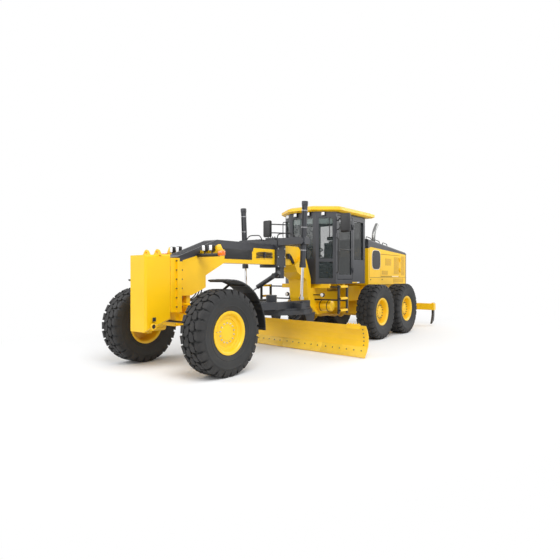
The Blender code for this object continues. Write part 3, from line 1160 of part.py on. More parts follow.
def cab_inside():
    """Driver's seat and the console with its column and wheel."""
    floor = CAB_FLOOR + CAB_FLOOR_THICK + SEAT_GAP
    x = ARTIC_X - SEAT_BEHIND
    half = SEAT_WIDTH / 2
    seat_top = floor + SEAT_HEIGHT
    cushion = box((x - SEAT_DEPTH / 2, -half, seat_top - SEAT_CUSHION), (x + SEAT_DEPTH / 2, half, seat_top))
    back_x = x - SEAT_DEPTH / 2
    back = prism([(back_x, seat_top - SEAT_CUSHION), (back_x + SEAT_CUSHION, seat_top - SEAT_CUSHION),
                  (back_x + 0.6 * SEAT_CUSHION, seat_top + SEAT_BACK_HEIGHT),
                  (back_x - 0.4 * SEAT_CUSHION, seat_top + SEAT_BACK_HEIGHT)], -half, half)
    post = box((x - SEAT_POST / 2, -SEAT_POST / 2, floor), (x + SEAT_POST / 2, SEAT_POST / 2,
                                                           seat_top - SEAT_CUSHION + FUSE_DEPTH))
    piece("seat", fuse(cushion, back, post), FABRIC)
    foot = Vector((ARTIC_X + COLUMN_AHEAD, 0, floor))
    top = foot + Vector((-0.25 * COLUMN_HEIGHT, 0, COLUMN_HEIGHT))
    column = prism([(foot.x - COLUMN_RADIUS, foot.z), (foot.x + COLUMN_RADIUS, foot.z),
                    (top.x + COLUMN_RADIUS, top.z), (top.x - COLUMN_RADIUS, top.z)],
                   -COLUMN_RADIUS, COLUMN_RADIUS)
    lean = (top - foot).normalized()
    wheel = turned([(STEER_WHEEL_RADIUS - STEER_WHEEL_TUBE, 0), (STEER_WHEEL_RADIUS, STEER_WHEEL_TUBE),
                    (STEER_WHEEL_RADIUS - STEER_WHEEL_TUBE, 2 * STEER_WHEEL_TUBE),
                    (STEER_WHEEL_RADIUS - 2 * STEER_WHEEL_TUBE, STEER_WHEEL_TUBE)],
                   top + lean * STEER_WHEEL_TUBE, lean, ROUND)
    spoke_at = top + lean * 2 * STEER_WHEEL_TUBE
    reach = Y_AXIS * (STEER_WHEEL_RADIUS - STEER_WHEEL_TUBE)
    spoke = rod(spoke_at - reach, spoke_at + reach, STEER_WHEEL_TUBE / 2, SMALL_ROUND)
    hub = rod(top - lean * 2 * STEER_WHEEL_TUBE, spoke_at + lean * STEER_WHEEL_TUBE, 2 * STEER_WHEEL_TUBE,
              SMALL_ROUND)
    piece("console", fuse(column, hub, wheel, spoke), BLACK)


def mirrors():
    """The pieces of the outside mirrors on bent tubes from the front posts."""
    x = ARTIC_X + MIRROR_AHEAD
    half = MIRROR_HEIGHT / 2
    head = box((x - MIRROR_THICK / 2, MIRROR_Y - MIRROR_WIDTH / 2, MIRROR_Z - half),
               (x + MIRROR_THICK / 2, MIRROR_Y + MIRROR_WIDTH / 2, MIRROR_Z + half))
    post_x = CAB_FRONT_X - PILLAR / 2
    root_y = CAB_HALF - FUSE_DEPTH
    arms = []
    for z in (MIRROR_Z + 0.55 * half, MIRROR_Z - 0.55 * half):
        arms.append(tube([(post_x, root_y + MIRROR_TUBE / 2, z), (post_x, root_y + 4 * MIRROR_TUBE, z),
                          (x, MIRROR_Y - 0.8 * MIRROR_WIDTH, z), (x, MIRROR_Y, z)], MIRROR_TUBE, SMALL_ROUND))
    pad = box((post_x - 2 * MIRROR_TUBE, root_y, MIRROR_Z - half),
              (post_x + 2 * MIRROR_TUBE, root_y + MIRROR_TUBE, MIRROR_Z + half))
    return [twin for mesh in (pad, *arms, head) for twin in both_sides(mesh)]


def ladders():
    """Boarding ladders hung beside the frame in front of the tandem wheels."""
    x = ARTIC_X + LADDER_AHEAD
    top = CAB_FLOOR - CUT_OVERRUN
    half = LADDER_RAIL_THICK / 2
    rails = [box((rail_x - LADDER_RAIL / 2, LADDER_Y - half, LADDER_BOTTOM),
                 (rail_x + LADDER_RAIL / 2, LADDER_Y + half, top))
             for rail_x in (x, x + LADDER_LENGTH - LADDER_RAIL)]
    rungs = [box((x, LADDER_Y - LADDER_RUNG, LADDER_BOTTOM + 0.2 * LADDER_PITCH + i * LADDER_PITCH),
                 (x + LADDER_LENGTH - LADDER_RAIL, LADDER_Y + LADDER_RUNG,
                  LADDER_BOTTOM + 0.2 * LADDER_PITCH + i * LADDER_PITCH + LADDER_RUNG))
             for i in range(LADDER_RUNGS)]
    hook = box((x - LADDER_RAIL / 2, CAB_HALF - CAB_WALL + SEAT_GAP, top - LADDER_RAIL),
               (x + LADDER_RAIL / 2, LADDER_Y, top - LADDER_RAIL / 2))
    brace = box((x - LADDER_RAIL / 2, DROP_WIDTH / 2 + SEAT_GAP, LADDER_BOTTOM + LADDER_PITCH),
                (x + LADDER_RAIL / 2, LADDER_Y, LADDER_BOTTOM + LADDER_PITCH + LADDER_RAIL / 2))
    for hand, mesh in zip(("left", "right"), both_sides(fuse(*rails, *rungs, hook, brace))):
        piece(f"ladder_{hand}", mesh, BLACK)


def rear_frame():
    """Two rails with the hitch tongue, bearers, tandem axle housing and the ripper plate."""
    front = ARTIC_X - FRAME_FRONT_BEHIND
    out = RAIL_Y + RAIL_THICK / 2
    rails = both_sides(box((REAR_X, RAIL_Y - RAIL_THICK / 2, FRAME_BOTTOM), (front, out, FRAME_TOP)))
    tongue_low = DROP_BOTTOM + FORK_PLATE + SEAT_GAP
    tongue_high = DROP_REAR_TOP - FORK_PLATE - SEAT_GAP
    bulk = box((front - FORK_PLATE, -out, tongue_low), (front, out, FRAME_TOP))
    tongue = box((front - FUSE_DEPTH, -TONGUE_WIDTH / 2, tongue_low),
                 (ARTIC_X, TONGUE_WIDTH / 2, tongue_high))
    round_end = rod((ARTIC_X, 0, tongue_low), (ARTIC_X, 0, tongue_high), TONGUE_WIDTH / 2, ROUND)
    bore = rod((ARTIC_X, 0, tongue_low - CUT_OVERRUN), (ARTIC_X, 0, tongue_high + CUT_OVERRUN),
               HITCH_PIN_RADIUS + 2 * SEAT_GAP, WIDE_ROUND)
    housing_half = CASE_Y - CASE_WIDTH / 2 - SEAT_GAP
    housing = rod((TANDEM_X, -housing_half, TYRE_RADIUS), (TANDEM_X, housing_half, TYRE_RADIUS),
                  AXLE_HOUSING_RADIUS, ROUND)
    carrier = box((TANDEM_X - 1.4 * AXLE_HOUSING_RADIUS, -out, TYRE_RADIUS - 0.6 * AXLE_HOUSING_RADIUS),
                  (TANDEM_X + 1.4 * AXLE_HOUSING_RADIUS, out, FRAME_BOTTOM + FUSE_DEPTH))
    plate = box((REAR_X - REAR_PLATE_THICK, -REAR_PLATE_WIDTH / 2, REAR_PLATE_BOTTOM),
                (REAR_X + FUSE_DEPTH, REAR_PLATE_WIDTH / 2, FRAME_TOP))
    bearers = [box((x - FORK_PLATE / 2, -HOOD_WIDTH / 2, FRAME_TOP - FORK_PLATE),
                   (x + FORK_PLATE / 2, HOOD_WIDTH / 2, HOOD_BOTTOM - SEAT_GAP))
               for x in (HOOD_FRONT_X - FORK_PLATE, REAR_X + 2 * FORK_PLATE)]
    mesh = fuse(bulk, tongue, round_end, *rails, housing, carrier, plate, *bearers, *ripper_lugs())
    return piece("rear_frame", carve(mesh, bore), YELLOW, (ARTIC_X, 0, FRAME_TOP))


def ripper_place():
    """The rear frame's lower ripper pin."""
    return Vector((REAR_X - REAR_PLATE_THICK - RIPPER_LINK_HEIGHT / 2 - MOVE_GAP, 0, RIPPER_PIVOT_Z))


def ripper_lugs():
    """Lugs on the rear plate beside the links and the cylinder's eye."""
    pivot = ripper_place()
    side = RIPPER_LINK_Y + RIPPER_LINK_THICK / 2 + SEAT_GAP
    half = RIPPER_LINK_HEIGHT / 2
    result = []
    for z in (pivot.z, pivot.z + RIPPER_LINK_RISE):
        lug = box((pivot.x, side, z - half), (REAR_X - FUSE_DEPTH, side + RIPPER_LINK_THICK, z + half))
        boss = bar((pivot.x, side + RIPPER_LINK_THICK / 2, z), Y_AXIS, half, RIPPER_LINK_THICK, SMALL_ROUND)
        result += both_sides(fuse(lug, boss))
    eye_side = 0.8 * RIPPER_TUBE_RADIUS + SEAT_GAP
    result.append(fuse(box((pivot.x, eye_side, RIPPER_TOP_Z - half),
                           (REAR_X - FUSE_DEPTH, eye_side + RIPPER_LINK_THICK, RIPPER_TOP_Z + half)),
                       bar((pivot.x, eye_side + RIPPER_LINK_THICK / 2, RIPPER_TOP_Z), Y_AXIS, half,
                           RIPPER_LINK_THICK, SMALL_ROUND)))
    return result


def tandem_cases():
    """Walking-beam chain cases with their hubs."""
    inner, outer = CASE_Y - CASE_WIDTH / 2, CASE_Y + CASE_WIDTH / 2
    seat = WHEEL_Y + REAR_DISC_OFFSET - DISC_THICK - SEAT_GAP
    half = TANDEM_SPACING / 2
    body = box((TANDEM_X - half, inner, TYRE_RADIUS - CASE_RADIUS),
               (TANDEM_X + half, outer, TYRE_RADIUS + CASE_RADIUS))
    parts = []
    for sign in (1, -1):
        x = TANDEM_X + sign * half
        parts.append(rod((x, inner, TYRE_RADIUS), (x, outer, TYRE_RADIUS), CASE_RADIUS, ROUND))
        parts.append(rod((x, outer - FUSE_DEPTH, TYRE_RADIUS), (x, seat, TYRE_RADIUS),
                         CASE_HUB_RADIUS, ROUND))
    parts.append(rod((TANDEM_X, inner, TYRE_RADIUS), (TANDEM_X, outer + CUT_OVERRUN, TYRE_RADIUS),
                     PIVOT_HUB_RADIUS, ROUND))
    for hand, mesh in zip(("left", "right"), both_sides(fuse(body, *parts))):
        piece(f"tandem_case_{hand}", mesh, YELLOW, (TANDEM_X, 0, TYRE_RADIUS))


def hood_top(x):
    """Height of the hood's sloping top at x."""
    share = (HOOD_FRONT_X - x) / (HOOD_FRONT_X - REAR_X)
    return HOOD_FRONT_TOP + (HOOD_REAR_TOP - HOOD_FRONT_TOP) * share


def hood():
    """The engine hood, open below, with its side and rear openings."""
    half = HOOD_WIDTH / 2
    outer = prism([(HOOD_FRONT_X, HOOD_BOTTOM), (HOOD_FRONT_X, HOOD_FRONT_TOP), (REAR_X, HOOD_REAR_TOP),
                   (REAR_X, HOOD_BOTTOM)], -half, half)
    trims = []
    slope = math.atan2(HOOD_FRONT_TOP - HOOD_REAR_TOP, HOOD_FRONT_X - REAR_X)
    middle = Vector(((HOOD_FRONT_X + REAR_X) / 2, half, (HOOD_FRONT_TOP + HOOD_REAR_TOP) / 2))
    turn = Matrix.Rotation(-slope, 4, "Y") @ Matrix.Rotation(math.radians(45), 4, "X")
    size = (HOOD_FRONT_X - REAR_X) * 1.2
    wedge = block((0, 0, 0), (size, 2 * HOOD_CHAMFER, 2 * HOOD_CHAMFER))
    edge = middle + Vector((0, HOOD_CHAMFER / 2, HOOD_CHAMFER / 2))
    trims += both_sides(moved(wedge, Matrix.Translation(edge) @ turn))
    wall = HOOD_WALL
    floor = HOOD_BOTTOM - CUT_OVERRUN
    inner = prism([(HOOD_FRONT_X - wall, floor), (HOOD_FRONT_X - wall, HOOD_FRONT_TOP - HOOD_CHAMFER - wall),
                   (REAR_X + wall, HOOD_REAR_TOP - HOOD_CHAMFER - wall), (REAR_X + wall, floor)],
                  -half + wall, half - wall)
    door_front = REAR_X + HOOD_DOOR_AHEAD
    cuts = [box((door_front - HOOD_DOOR_LENGTH, -HOOD_WIDTH, HOOD_DOOR_BOTTOM),
                (door_front, HOOD_WIDTH, HOOD_DOOR_TOP)),
            box((REAR_X - wall, -half + GRILLE_FRAME, HOOD_BOTTOM + GRILLE_FRAME),
                (REAR_X + 2 * wall, half - GRILLE_FRAME, HOOD_REAR_TOP - HOOD_CHAMFER - GRILLE_FRAME))]
    rear_hinge = door_front - HOOD_DOOR_LENGTH
    posts = [m for z in hood_hinge_heights() for m in both_sides(hinge_post(rear_hinge, half, z))]
    grille_posts = [turned_hinge(hinge_post, z) for z in grille_hinge_heights()]
    mesh = fuse(carve(carve(outer, *trims), inner, *cuts), *posts, *grille_posts)
    return piece("hood", mesh, YELLOW, (HOOD_FRONT_X, 0, HOOD_BOTTOM))


def hood_hinge_heights():
    """Heights of the hood doors' hinges."""
    height = HOOD_DOOR_TOP - HOOD_DOOR_BOTTOM
    return HOOD_DOOR_BOTTOM + 0.3 * height, HOOD_DOOR_BOTTOM + 0.8 * height


def grille_hinge_heights():
    """Heights of the rear grille's hinges."""
    low = HOOD_BOTTOM + GRILLE_FRAME
    height = HOOD_REAR_TOP - HOOD_CHAMFER - GRILLE_FRAME - low
    return low + 0.3 * height, low + 0.85 * height


def to_rear(mesh):
    """Turn a left-side piece made at x and y zero onto the hood's rear face, at its right edge."""
    turn = Matrix.Rotation(math.radians(90), 4, "Z")
    place = Matrix.Translation((REAR_X, -HOOD_WIDTH / 2 + GRILLE_FRAME, 0))
    return moved(mesh, place @ turn)


def turned_hinge(maker, z):
    """A hinge half on the hood's rear face."""
    return to_rear(maker(0, 0, z))


def hood_doors():
    """Side doors hinged at their rear edges and the slatted rear grille door."""
    half = HOOD_WIDTH / 2
    rear = REAR_X + HOOD_DOOR_AHEAD - HOOD_DOOR_LENGTH
    panel = box((rear + MOVE_GAP, half - HOOD_WALL, HOOD_DOOR_BOTTOM + MOVE_GAP),
                (rear + HOOD_DOOR_LENGTH - MOVE_GAP, half, HOOD_DOOR_TOP - MOVE_GAP))
    panel = fuse(panel, *[hinge_leaf(rear, half, z) for z in hood_hinge_heights()])
    pivot = hinge_axis(rear, half, HOOD_DOOR_BOTTOM)
    for hand, side, mesh in zip(("left", "right"), (1, -1), both_sides(panel)):
        piece(f"hood_door_{hand}", mesh, YELLOW, pivot * Vector((1, side, 1)))
    low, high = HOOD_BOTTOM + GRILLE_FRAME + MOVE_GAP, HOOD_REAR_TOP - HOOD_CHAMFER - GRILLE_FRAME - MOVE_GAP
    length = HOOD_WIDTH - 2 * GRILLE_FRAME
    door = box((MOVE_GAP, -HOOD_WALL, low), (length - MOVE_GAP, 0, high))
    slots = []
    count = int((high - low - 2 * GRILLE_FRAME) / GRILLE_PITCH)
    for i in range(count):
        z = low + GRILLE_FRAME + i * GRILLE_PITCH
        slots.append(box((GRILLE_FRAME, -2 * HOOD_WALL, z), (length - GRILLE_FRAME, HOOD_WALL,
                                                            z + GRILLE_PITCH - GRILLE_SLAT)))
    door = fuse(carve(door, *slots), *[hinge_leaf(0, 0, z) for z in grille_hinge_heights()])
    axis = Matrix.Translation((REAR_X, -HOOD_WIDTH / 2 + GRILLE_FRAME, 0)) @ Matrix.Rotation(
        math.radians(90), 4, "Z") @ hinge_axis(0, 0, low)
    piece("rear_grille", to_rear(door), CHARCOAL, axis)


def engine_and_exhaust():
    """The engine as one block on the rails, and the leaning exhaust stack."""
    rear = REAR_X + ENGINE_BEHIND
    low = FRAME_TOP + SEAT_GAP
    half = ENGINE_WIDTH / 2
    piece("engine", box((rear, -half, low), (rear + ENGINE_LENGTH, half, low + ENGINE_HEIGHT)), STEEL)
    x = HOOD_FRONT_X - EXHAUST_AHEAD
    reach = 1.6 * EXHAUST_RADIUS
    base = prism([(x - reach, hood_top(x - reach) + SEAT_GAP), (x + reach, hood_top(x + reach) + SEAT_GAP),
                  (x + reach, hood_top(x - reach) + reach), (x - reach, hood_top(x - reach) + reach)],
                 EXHAUST_Y - reach, EXHAUST_Y + reach)
    height = EXHAUST_TOP - hood_top(x)
    path = [(x, EXHAUST_Y, hood_top(x) + reach / 2), (x, EXHAUST_Y, hood_top(x) + 0.45 * height),
            (x - 0.25 * EXHAUST_LEAN, EXHAUST_Y, hood_top(x) + 0.7 * height),
            (x - EXHAUST_LEAN, EXHAUST_Y, EXHAUST_TOP)]
    piece("exhaust", fuse(base, tube(path, EXHAUST_RADIUS, SMALL_ROUND)), CHROME)


def ripper():
    """Lower and upper links, the beam with its shanks, and the lift cylinder."""
    pivot = ripper_place()
    half = RIPPER_LINK_HEIGHT / 2
    back = X_AXIS * -RIPPER_LINK_LENGTH
    for name, rise in (("ripper_links", 0), ("ripper_upper_links", RIPPER_LINK_RISE)):
        start = pivot + Z_AXIS * rise + Y_AXIS * RIPPER_LINK_Y
        end = start + back
        plate = box((end.x, RIPPER_LINK_Y - RIPPER_LINK_THICK / 2, start.z - 0.7 * half),
                    (start.x, RIPPER_LINK_Y + RIPPER_LINK_THICK / 2, start.z + 0.7 * half))
        ends = [bar(point, Y_AXIS, half, RIPPER_LINK_THICK, SMALL_ROUND) for point in (start, end)]
        middle = (start + end) / 2
        cross = rod((middle.x, -RIPPER_LINK_Y, middle.z), (middle.x, RIPPER_LINK_Y, middle.z), half / 2)
        piece(name, fuse(cross, *both_sides(fuse(plate, *ends))), YELLOW, pivot + Z_AXIS * rise)
    rear_pin = pivot + back
    front = rear_pin.x - half - MOVE_GAP
    rear = front - RIPPER_BEAM_DEPTH
    low = RIPPER_PIVOT_Z - RIPPER_BEAM_HEIGHT / 2
    high = low + RIPPER_BEAM_HEIGHT
    beam_half = RIPPER_BEAM_LENGTH / 2
    beam = box((rear, -beam_half, low), (front, beam_half, high))
    parts = []
    side = RIPPER_LINK_Y + RIPPER_LINK_THICK / 2 + SEAT_GAP
    for rise in (0, RIPPER_LINK_RISE):
        z = rear_pin.z + rise
        lug = fuse(box((front - RIPPER_BEAM_WALL, side, z - half),
                       (rear_pin.x, side + RIPPER_LINK_THICK, z + half)),
                   bar((rear_pin.x, side + RIPPER_LINK_THICK / 2, z), Y_AXIS, half, RIPPER_LINK_THICK,
                       SMALL_ROUND))
        parts += both_sides(lug)
    post = box((front - RIPPER_BEAM_WALL, side, low), (front, side + RIPPER_LINK_THICK,
                                                      rear_pin.z + RIPPER_LINK_RISE + half))
    parts += both_sides(post)
    eye = Vector((rear_pin.x, 0, RIPPER_EYE_Z))
    eye_side = 0.8 * RIPPER_TUBE_RADIUS + SEAT_GAP
    parts.append(prism([(front - RIPPER_BEAM_WALL, high - FUSE_DEPTH), (front, high - FUSE_DEPTH),
                        (eye.x + half, RIPPER_EYE_Z - half), (eye.x + half, RIPPER_EYE_Z + half),
                        (front - RIPPER_BEAM_WALL, RIPPER_EYE_Z + half)],
                       eye_side, eye_side + RIPPER_LINK_THICK))
    shank_x = rear + SHANK_WIDTH / 2
    hook = [(shank_x + back * SHANK_WIDTH, SHANK_TIP + up * SHANK_HOOK) for back, up in SHANK_SHARES]
    shank = prism([(shank_x - SHANK_WIDTH, high + SHANK_ABOVE), *hook, (shank_x, high + SHANK_ABOVE)],
                  -SHANK_THICK / 2, SHANK_THICK / 2)
    for y in (-SHANK_Y, 0, SHANK_Y):
        parts.append(moved(shank, Matrix.Translation((0, y, 0))))
    piece("ripper_beam", fuse(beam, *parts), YELLOW, rear_pin)
    top = Vector((pivot.x, 0, RIPPER_TOP_Z))
    along = (eye - top).normalized()
    reach = (eye - top).length
    mouth = top + along * 0.71 * reach
    outer = rod(top, mouth, RIPPER_TUBE_RADIUS * 0.75, ROUND)
    barrel = bar(top, Y_AXIS, RIPPER_TUBE_RADIUS, 1.6 * RIPPER_TUBE_RADIUS, ROUND)
    bore = rod(top + along * 1.5 * RIPPER_TUBE_RADIUS, mouth + along * CUT_OVERRUN,
               RIPPER_ROD_RADIUS + SEAT_GAP, ROUND)
    piece("ripper_tube", carve(fuse(outer, barrel), bore), CHARCOAL, top)
    inner = top + along * 0.42 * reach
    piece("ripper_rod", capped_rod(inner, eye, RIPPER_ROD_RADIUS, 0.9 * RIPPER_TUBE_RADIUS, Y_AXIS,
                                   1.6 * RIPPER_TUBE_RADIUS), CHROME, top)


def main():
    """Build the whole machine."""
    clear_scene()
    make_wheels()
    front_frame()
    counterweight()
    front_axle()
    lean_and_steering()
    fenders()
    saddle()
    lift_cylinders()
    shift_cylinder()
    swing_block()
    drawbar()
    circle()
    blade()
    blade_bracket()
    cab_shell()
    cab_doors()
    cab_roof()
    cab_inside()
    ladders()
    rear_frame()
    tandem_cases()
    hood()
    hood_doors()
    engine_and_exhaust()
    ripper()


main()
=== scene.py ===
"""Looks of an articulated motor grader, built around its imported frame.

Metres, +X forward, +Y to the driver's left, +Z up, as in the frame.
"""

from __future__ import annotations

import json
import logging
import math
from dataclasses import dataclass
from enum import Enum
from typing import Iterable, Sequence

import bmesh
import bpy
from mathutils import Matrix, Vector
from mathutils.bvhtree import BVHTree

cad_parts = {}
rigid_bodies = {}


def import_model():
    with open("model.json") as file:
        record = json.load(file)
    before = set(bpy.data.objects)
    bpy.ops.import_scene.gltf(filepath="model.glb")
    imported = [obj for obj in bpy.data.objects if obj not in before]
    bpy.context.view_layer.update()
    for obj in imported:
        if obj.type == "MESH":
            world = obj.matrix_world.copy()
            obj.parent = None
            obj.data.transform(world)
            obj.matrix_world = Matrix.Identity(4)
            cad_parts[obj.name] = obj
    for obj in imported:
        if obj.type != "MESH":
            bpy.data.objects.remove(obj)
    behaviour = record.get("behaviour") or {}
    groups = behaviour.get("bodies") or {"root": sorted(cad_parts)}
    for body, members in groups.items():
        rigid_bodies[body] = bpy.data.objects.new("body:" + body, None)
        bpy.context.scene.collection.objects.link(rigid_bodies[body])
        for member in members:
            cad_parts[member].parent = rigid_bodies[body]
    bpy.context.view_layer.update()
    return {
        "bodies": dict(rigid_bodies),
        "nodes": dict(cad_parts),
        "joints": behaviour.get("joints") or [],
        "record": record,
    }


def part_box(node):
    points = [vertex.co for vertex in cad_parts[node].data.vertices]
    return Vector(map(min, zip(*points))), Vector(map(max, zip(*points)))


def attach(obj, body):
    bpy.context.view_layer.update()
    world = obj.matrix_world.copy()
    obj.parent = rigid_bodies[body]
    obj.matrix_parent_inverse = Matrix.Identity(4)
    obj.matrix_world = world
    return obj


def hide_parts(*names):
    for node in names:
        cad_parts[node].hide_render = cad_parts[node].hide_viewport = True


LOG = logging.getLogger("grader")
Point = Sequence[float]
Places = tuple[float, ...]
Pair = tuple[float, float]
Triple = tuple[float, float, float]
Socket = bpy.types.NodeSocket
X_AXIS, Y_AXIS, Z_AXIS = Vector((1, 0, 0)), Vector((0, 1, 0)), Vector((0, 0, 1))
SIDES = (("left", 1), ("right", -1))
WHITE = (1, 1, 1, 1)


class Slot(Enum):
    """The record's material slots."""

    YELLOW = "yellow_paint"
    CHARCOAL = "charcoal_paint"
    BLACK = "black_coat"
    TYRE = "tyre_rubber"
    CHROME = "rod_chrome"
    STEEL = "bare_steel"
    SEAT = "seat_fabric"


class Grain(Enum):
    """How a finish breaks up its surface."""
    """How a finish breaks up its surface."""

    EVEN = "even"
    BRUSHED = "brushed"
    CLOTH = "cloth"
    SMOOTH = "smooth"


STRETCH = {Grain.BRUSHED: (0.06, 1, 1), Grain.CLOTH: (1, 1, 0.5)}


@dataclass(frozen=True)
class Graph:
    """A node tree under construction."""

    tree: bpy.types.NodeTree

    def feed(self, node: bpy.types.Node, inputs: dict[str | int, object]) -> bpy.types.Node:
        """Give a node its inputs.

        Args:
            node: The node.
            inputs: For each input its value, or the socket that feeds it.

        Returns:
            The node.
        """
        for key, value in inputs.items():
            if isinstance(value, Socket):
                self.tree.links.new(value, node.inputs[key])
            else:
                node.inputs[key].default_value = value
        return node

    def add(self, kind: str, inputs: dict[str | int, object] | None = None,
            **settings: object) -> bpy.types.Node:
        """Add a node.

        Args:
            kind: The node's type, without its prefix.
            inputs: What its inputs get.
            settings: Its own settings.

        Returns:
            The node.
        """
        node = self.tree.nodes.new(f"ShaderNode{kind}")
        for name, value in settings.items():
            setattr(node, name, value)
        return self.feed(node, inputs or {})

    def place(self) -> Socket:
        """Return the object coordinates."""
        return self.add("TexCoord").outputs["Object"]

    def axes(self, place: Socket) -> bpy.types.NodeOutputs:
        """Return a place's three coordinates as outputs X, Y and Z."""
        return self.add("SeparateXYZ", {"Vector": place}).outputs

    def noise(self, place: Socket, scale: float, detail: float = 2.0) -> Socket:
        """Return a cloudy value between 0 and 1.

        Args:
            place: The coordinates.
            scale: How fine it is.
            detail: How many finer layers it has.

        Returns:
            A value socket.
        """
        return self.add("TexNoise", {"Vector": place, "Scale": scale,
                                     "Detail": detail}).outputs["Fac"]

    def spread(self, value: Socket, start: float = 0, end: float = 1, low: float = 0,
               high: float = 1, **settings: object) -> Socket:
        """Map a value from one range to another and clamp it there.

        Args:
            value: The value.
            start: The value that gives low.
            end: The value that gives high.
            low: What start gives.
            high: What end gives.
            settings: The node's own settings.

        Returns:
            A value socket.
        """
        ends = {"Value": value, "From Min": start, "From Max": end, "To Min": low, "To Max": high}
        return self.add("MapRange", ends, **settings).outputs["Result"]

    def maths(self, operation: str, first: Socket, second: Socket | float) -> Socket:
        """Return the result of an operation on two values.

        Args:
            operation: The operation.
            first: The first value.
            second: The second value.

        Returns:
            A value socket.
        """
        return self.add("Math", {0: first, 1: second}, operation=operation).outputs["Value"]

    def mixed(self, amount: Socket, base: Socket, colour: Triple) -> Socket:
        """Lay a colour over another.

        Args:
            amount: How much of the colour covers the base.
            base: The colour underneath.
            colour: The colour on top.

        Returns:
            A colour socket.
        """
        return self.add("Mix", {"Factor": amount, 6: base, 7: (*colour, 1)},
                        data_type="RGBA").outputs[2]


def new_material(name: str) -> tuple[bpy.types.Material, Graph, bpy.types.Node]:
    """Return a new material, the graph of its nodes and its shader."""
    result = bpy.data.materials.new(name)
    result.use_nodes = True
    return result, Graph(result.node_tree), result.node_tree.nodes["Principled BSDF"]


@dataclass(frozen=True)
class Finish:
    """A procedural surface finish.

    The colour wanders a little, dust gathers low on the machine and a fine grain
    raises the surface. Paint with wear is rubbed thin in patches along its edges.
    """

    name: str
    colour: Triple
    roughness: float
    grain: Grain = Grain.EVEN
    metallic: float = 0.0
    coat: float = 0.0
    wander: float = 0.06
    wander_scale: float = 2.5
    grain_scale: float = 220.0
    grain_height: float = 0.04
    dust: float = 0.12
    dust_top: float = 0.9
    dust_colour: Triple = (0.42, 0.37, 0.30)
    wear: float = 0.0
    wear_colour: Triple = (0.30, 0.27, 0.22)
    edge_reach: float = 0.007
    edge_turn: Pair = (0.97, 0.84)
    patch_scale: float = 22
    patch_span: Pair = (0.48, 0.62)
    cloud_scale: float = 9
    smear_scale: float = 14
    smear: Pair = (-0.07, 0.10)
    grain_depth: float = 0.004
    coat_roughness: float = 0.12

    def colour_socket(self, graph: Graph, place: Socket) -> Socket:
        """Return the socket that gives the clean colour.

        Args:
            graph: The material's nodes.
            place: The object coordinates.

        Returns:
            A colour socket.
        """
        ramp = graph.add("ValToRGB", {"Fac": graph.noise(place, self.wander_scale, 4)})
        low, high = ramp.color_ramp.elements
        for end, position, shade in ((low, 0.3, 1 - self.wander), (high, 0.7, 1 + self.wander)):
            end.position = position
            end.color = (*(min(part * shade, 1) for part in self.colour), 1)
        return ramp.outputs["Color"]

    def rubbed(self, graph: Graph, place: Socket, clean: Socket) -> Socket:
        """Rub the paint thin along the edges, in patches.

        Args:
            graph: The material's nodes.
            place: The object coordinates.
            clean: The clean colour.

        Returns:
            A colour socket.
        """
        rounded = graph.add("Bevel", {"Radius": self.edge_reach}, samples=4)
        surface = graph.add("NewGeometry")
        likeness = graph.add("VectorMath", {0: rounded.outputs["Normal"],
                                            1: surface.outputs["Normal"]},
                             operation="DOT_PRODUCT")
        edge = graph.spread(likeness.outputs["Value"], *self.edge_turn, high=self.wear)
        patches = graph.spread(graph.noise(place, self.patch_scale, 6), *self.patch_span)
        return graph.mixed(graph.maths("MULTIPLY", edge, patches), clean, self.wear_colour)

    def dusted(self, graph: Graph, place: Socket, clean: Socket) -> Socket:
        """Mix dust over the lower part of the machine.

        Args:
            graph: The material's nodes.
            place: The object coordinates.
            clean: The clean colour.

        Returns:
            A colour socket.
        """
        height = graph.spread(graph.axes(place)["Z"], 0, self.dust_top, self.dust, 0)
        cloud = graph.noise(place, self.cloud_scale, 6)
        return graph.mixed(graph.maths("MULTIPLY", height, cloud), clean, self.dust_colour)

    def bump(self, graph: Graph, place: Socket) -> Socket:
        """Return the normal of the fine grain.

        Args:
            graph: The material's nodes.
            place: The object coordinates.

        Returns:
            A normal socket.
        """
        if self.grain in STRETCH:
            place = graph.add("Mapping", {"Vector": place,
                                          "Scale": STRETCH[self.grain]}).outputs["Vector"]
        height = graph.noise(place, self.grain_scale, 3)
        return graph.add("Bump", {"Height": height, "Strength": self.grain_height,
                                  "Distance": self.grain_depth}).outputs["Normal"]

    def rough(self, graph: Graph, place: Socket) -> Socket:
        """Return a roughness that varies by a few hundredths.

        Args:
            graph: The material's nodes.
            place: The object coordinates.

        Returns:
            A value socket.
        """
        low, high = (self.roughness + shift for shift in self.smear)
        return graph.spread(graph.noise(place, self.smear_scale, 5), low=max(low, 0.02),
                            high=min(high, 1))

    def material(self) -> bpy.types.Material:
        """Return this finish's material, made at its first use."""
        known = bpy.data.materials.get(self.name)
        if known:
            return known
        result, graph, shader = new_material(self.name)
        result.diffuse_color = (*self.colour, 1)
        place = graph.place()
        colour = self.colour_socket(graph, place)
        if self.wear:
            colour = self.rubbed(graph, place, colour)
        if self.dust:
            colour = self.dusted(graph, place, colour)
        if self.grain is not Grain.SMOOTH:
            graph.feed(shader, {"Normal": self.bump(graph, place)})
        graph.feed(shader, {"Base Color": colour, "Roughness": self.rough(graph, place),
                            "Metallic": self.metallic, "Coat Weight": self.coat,
                            "Coat Roughness": self.coat_roughness})
        return result


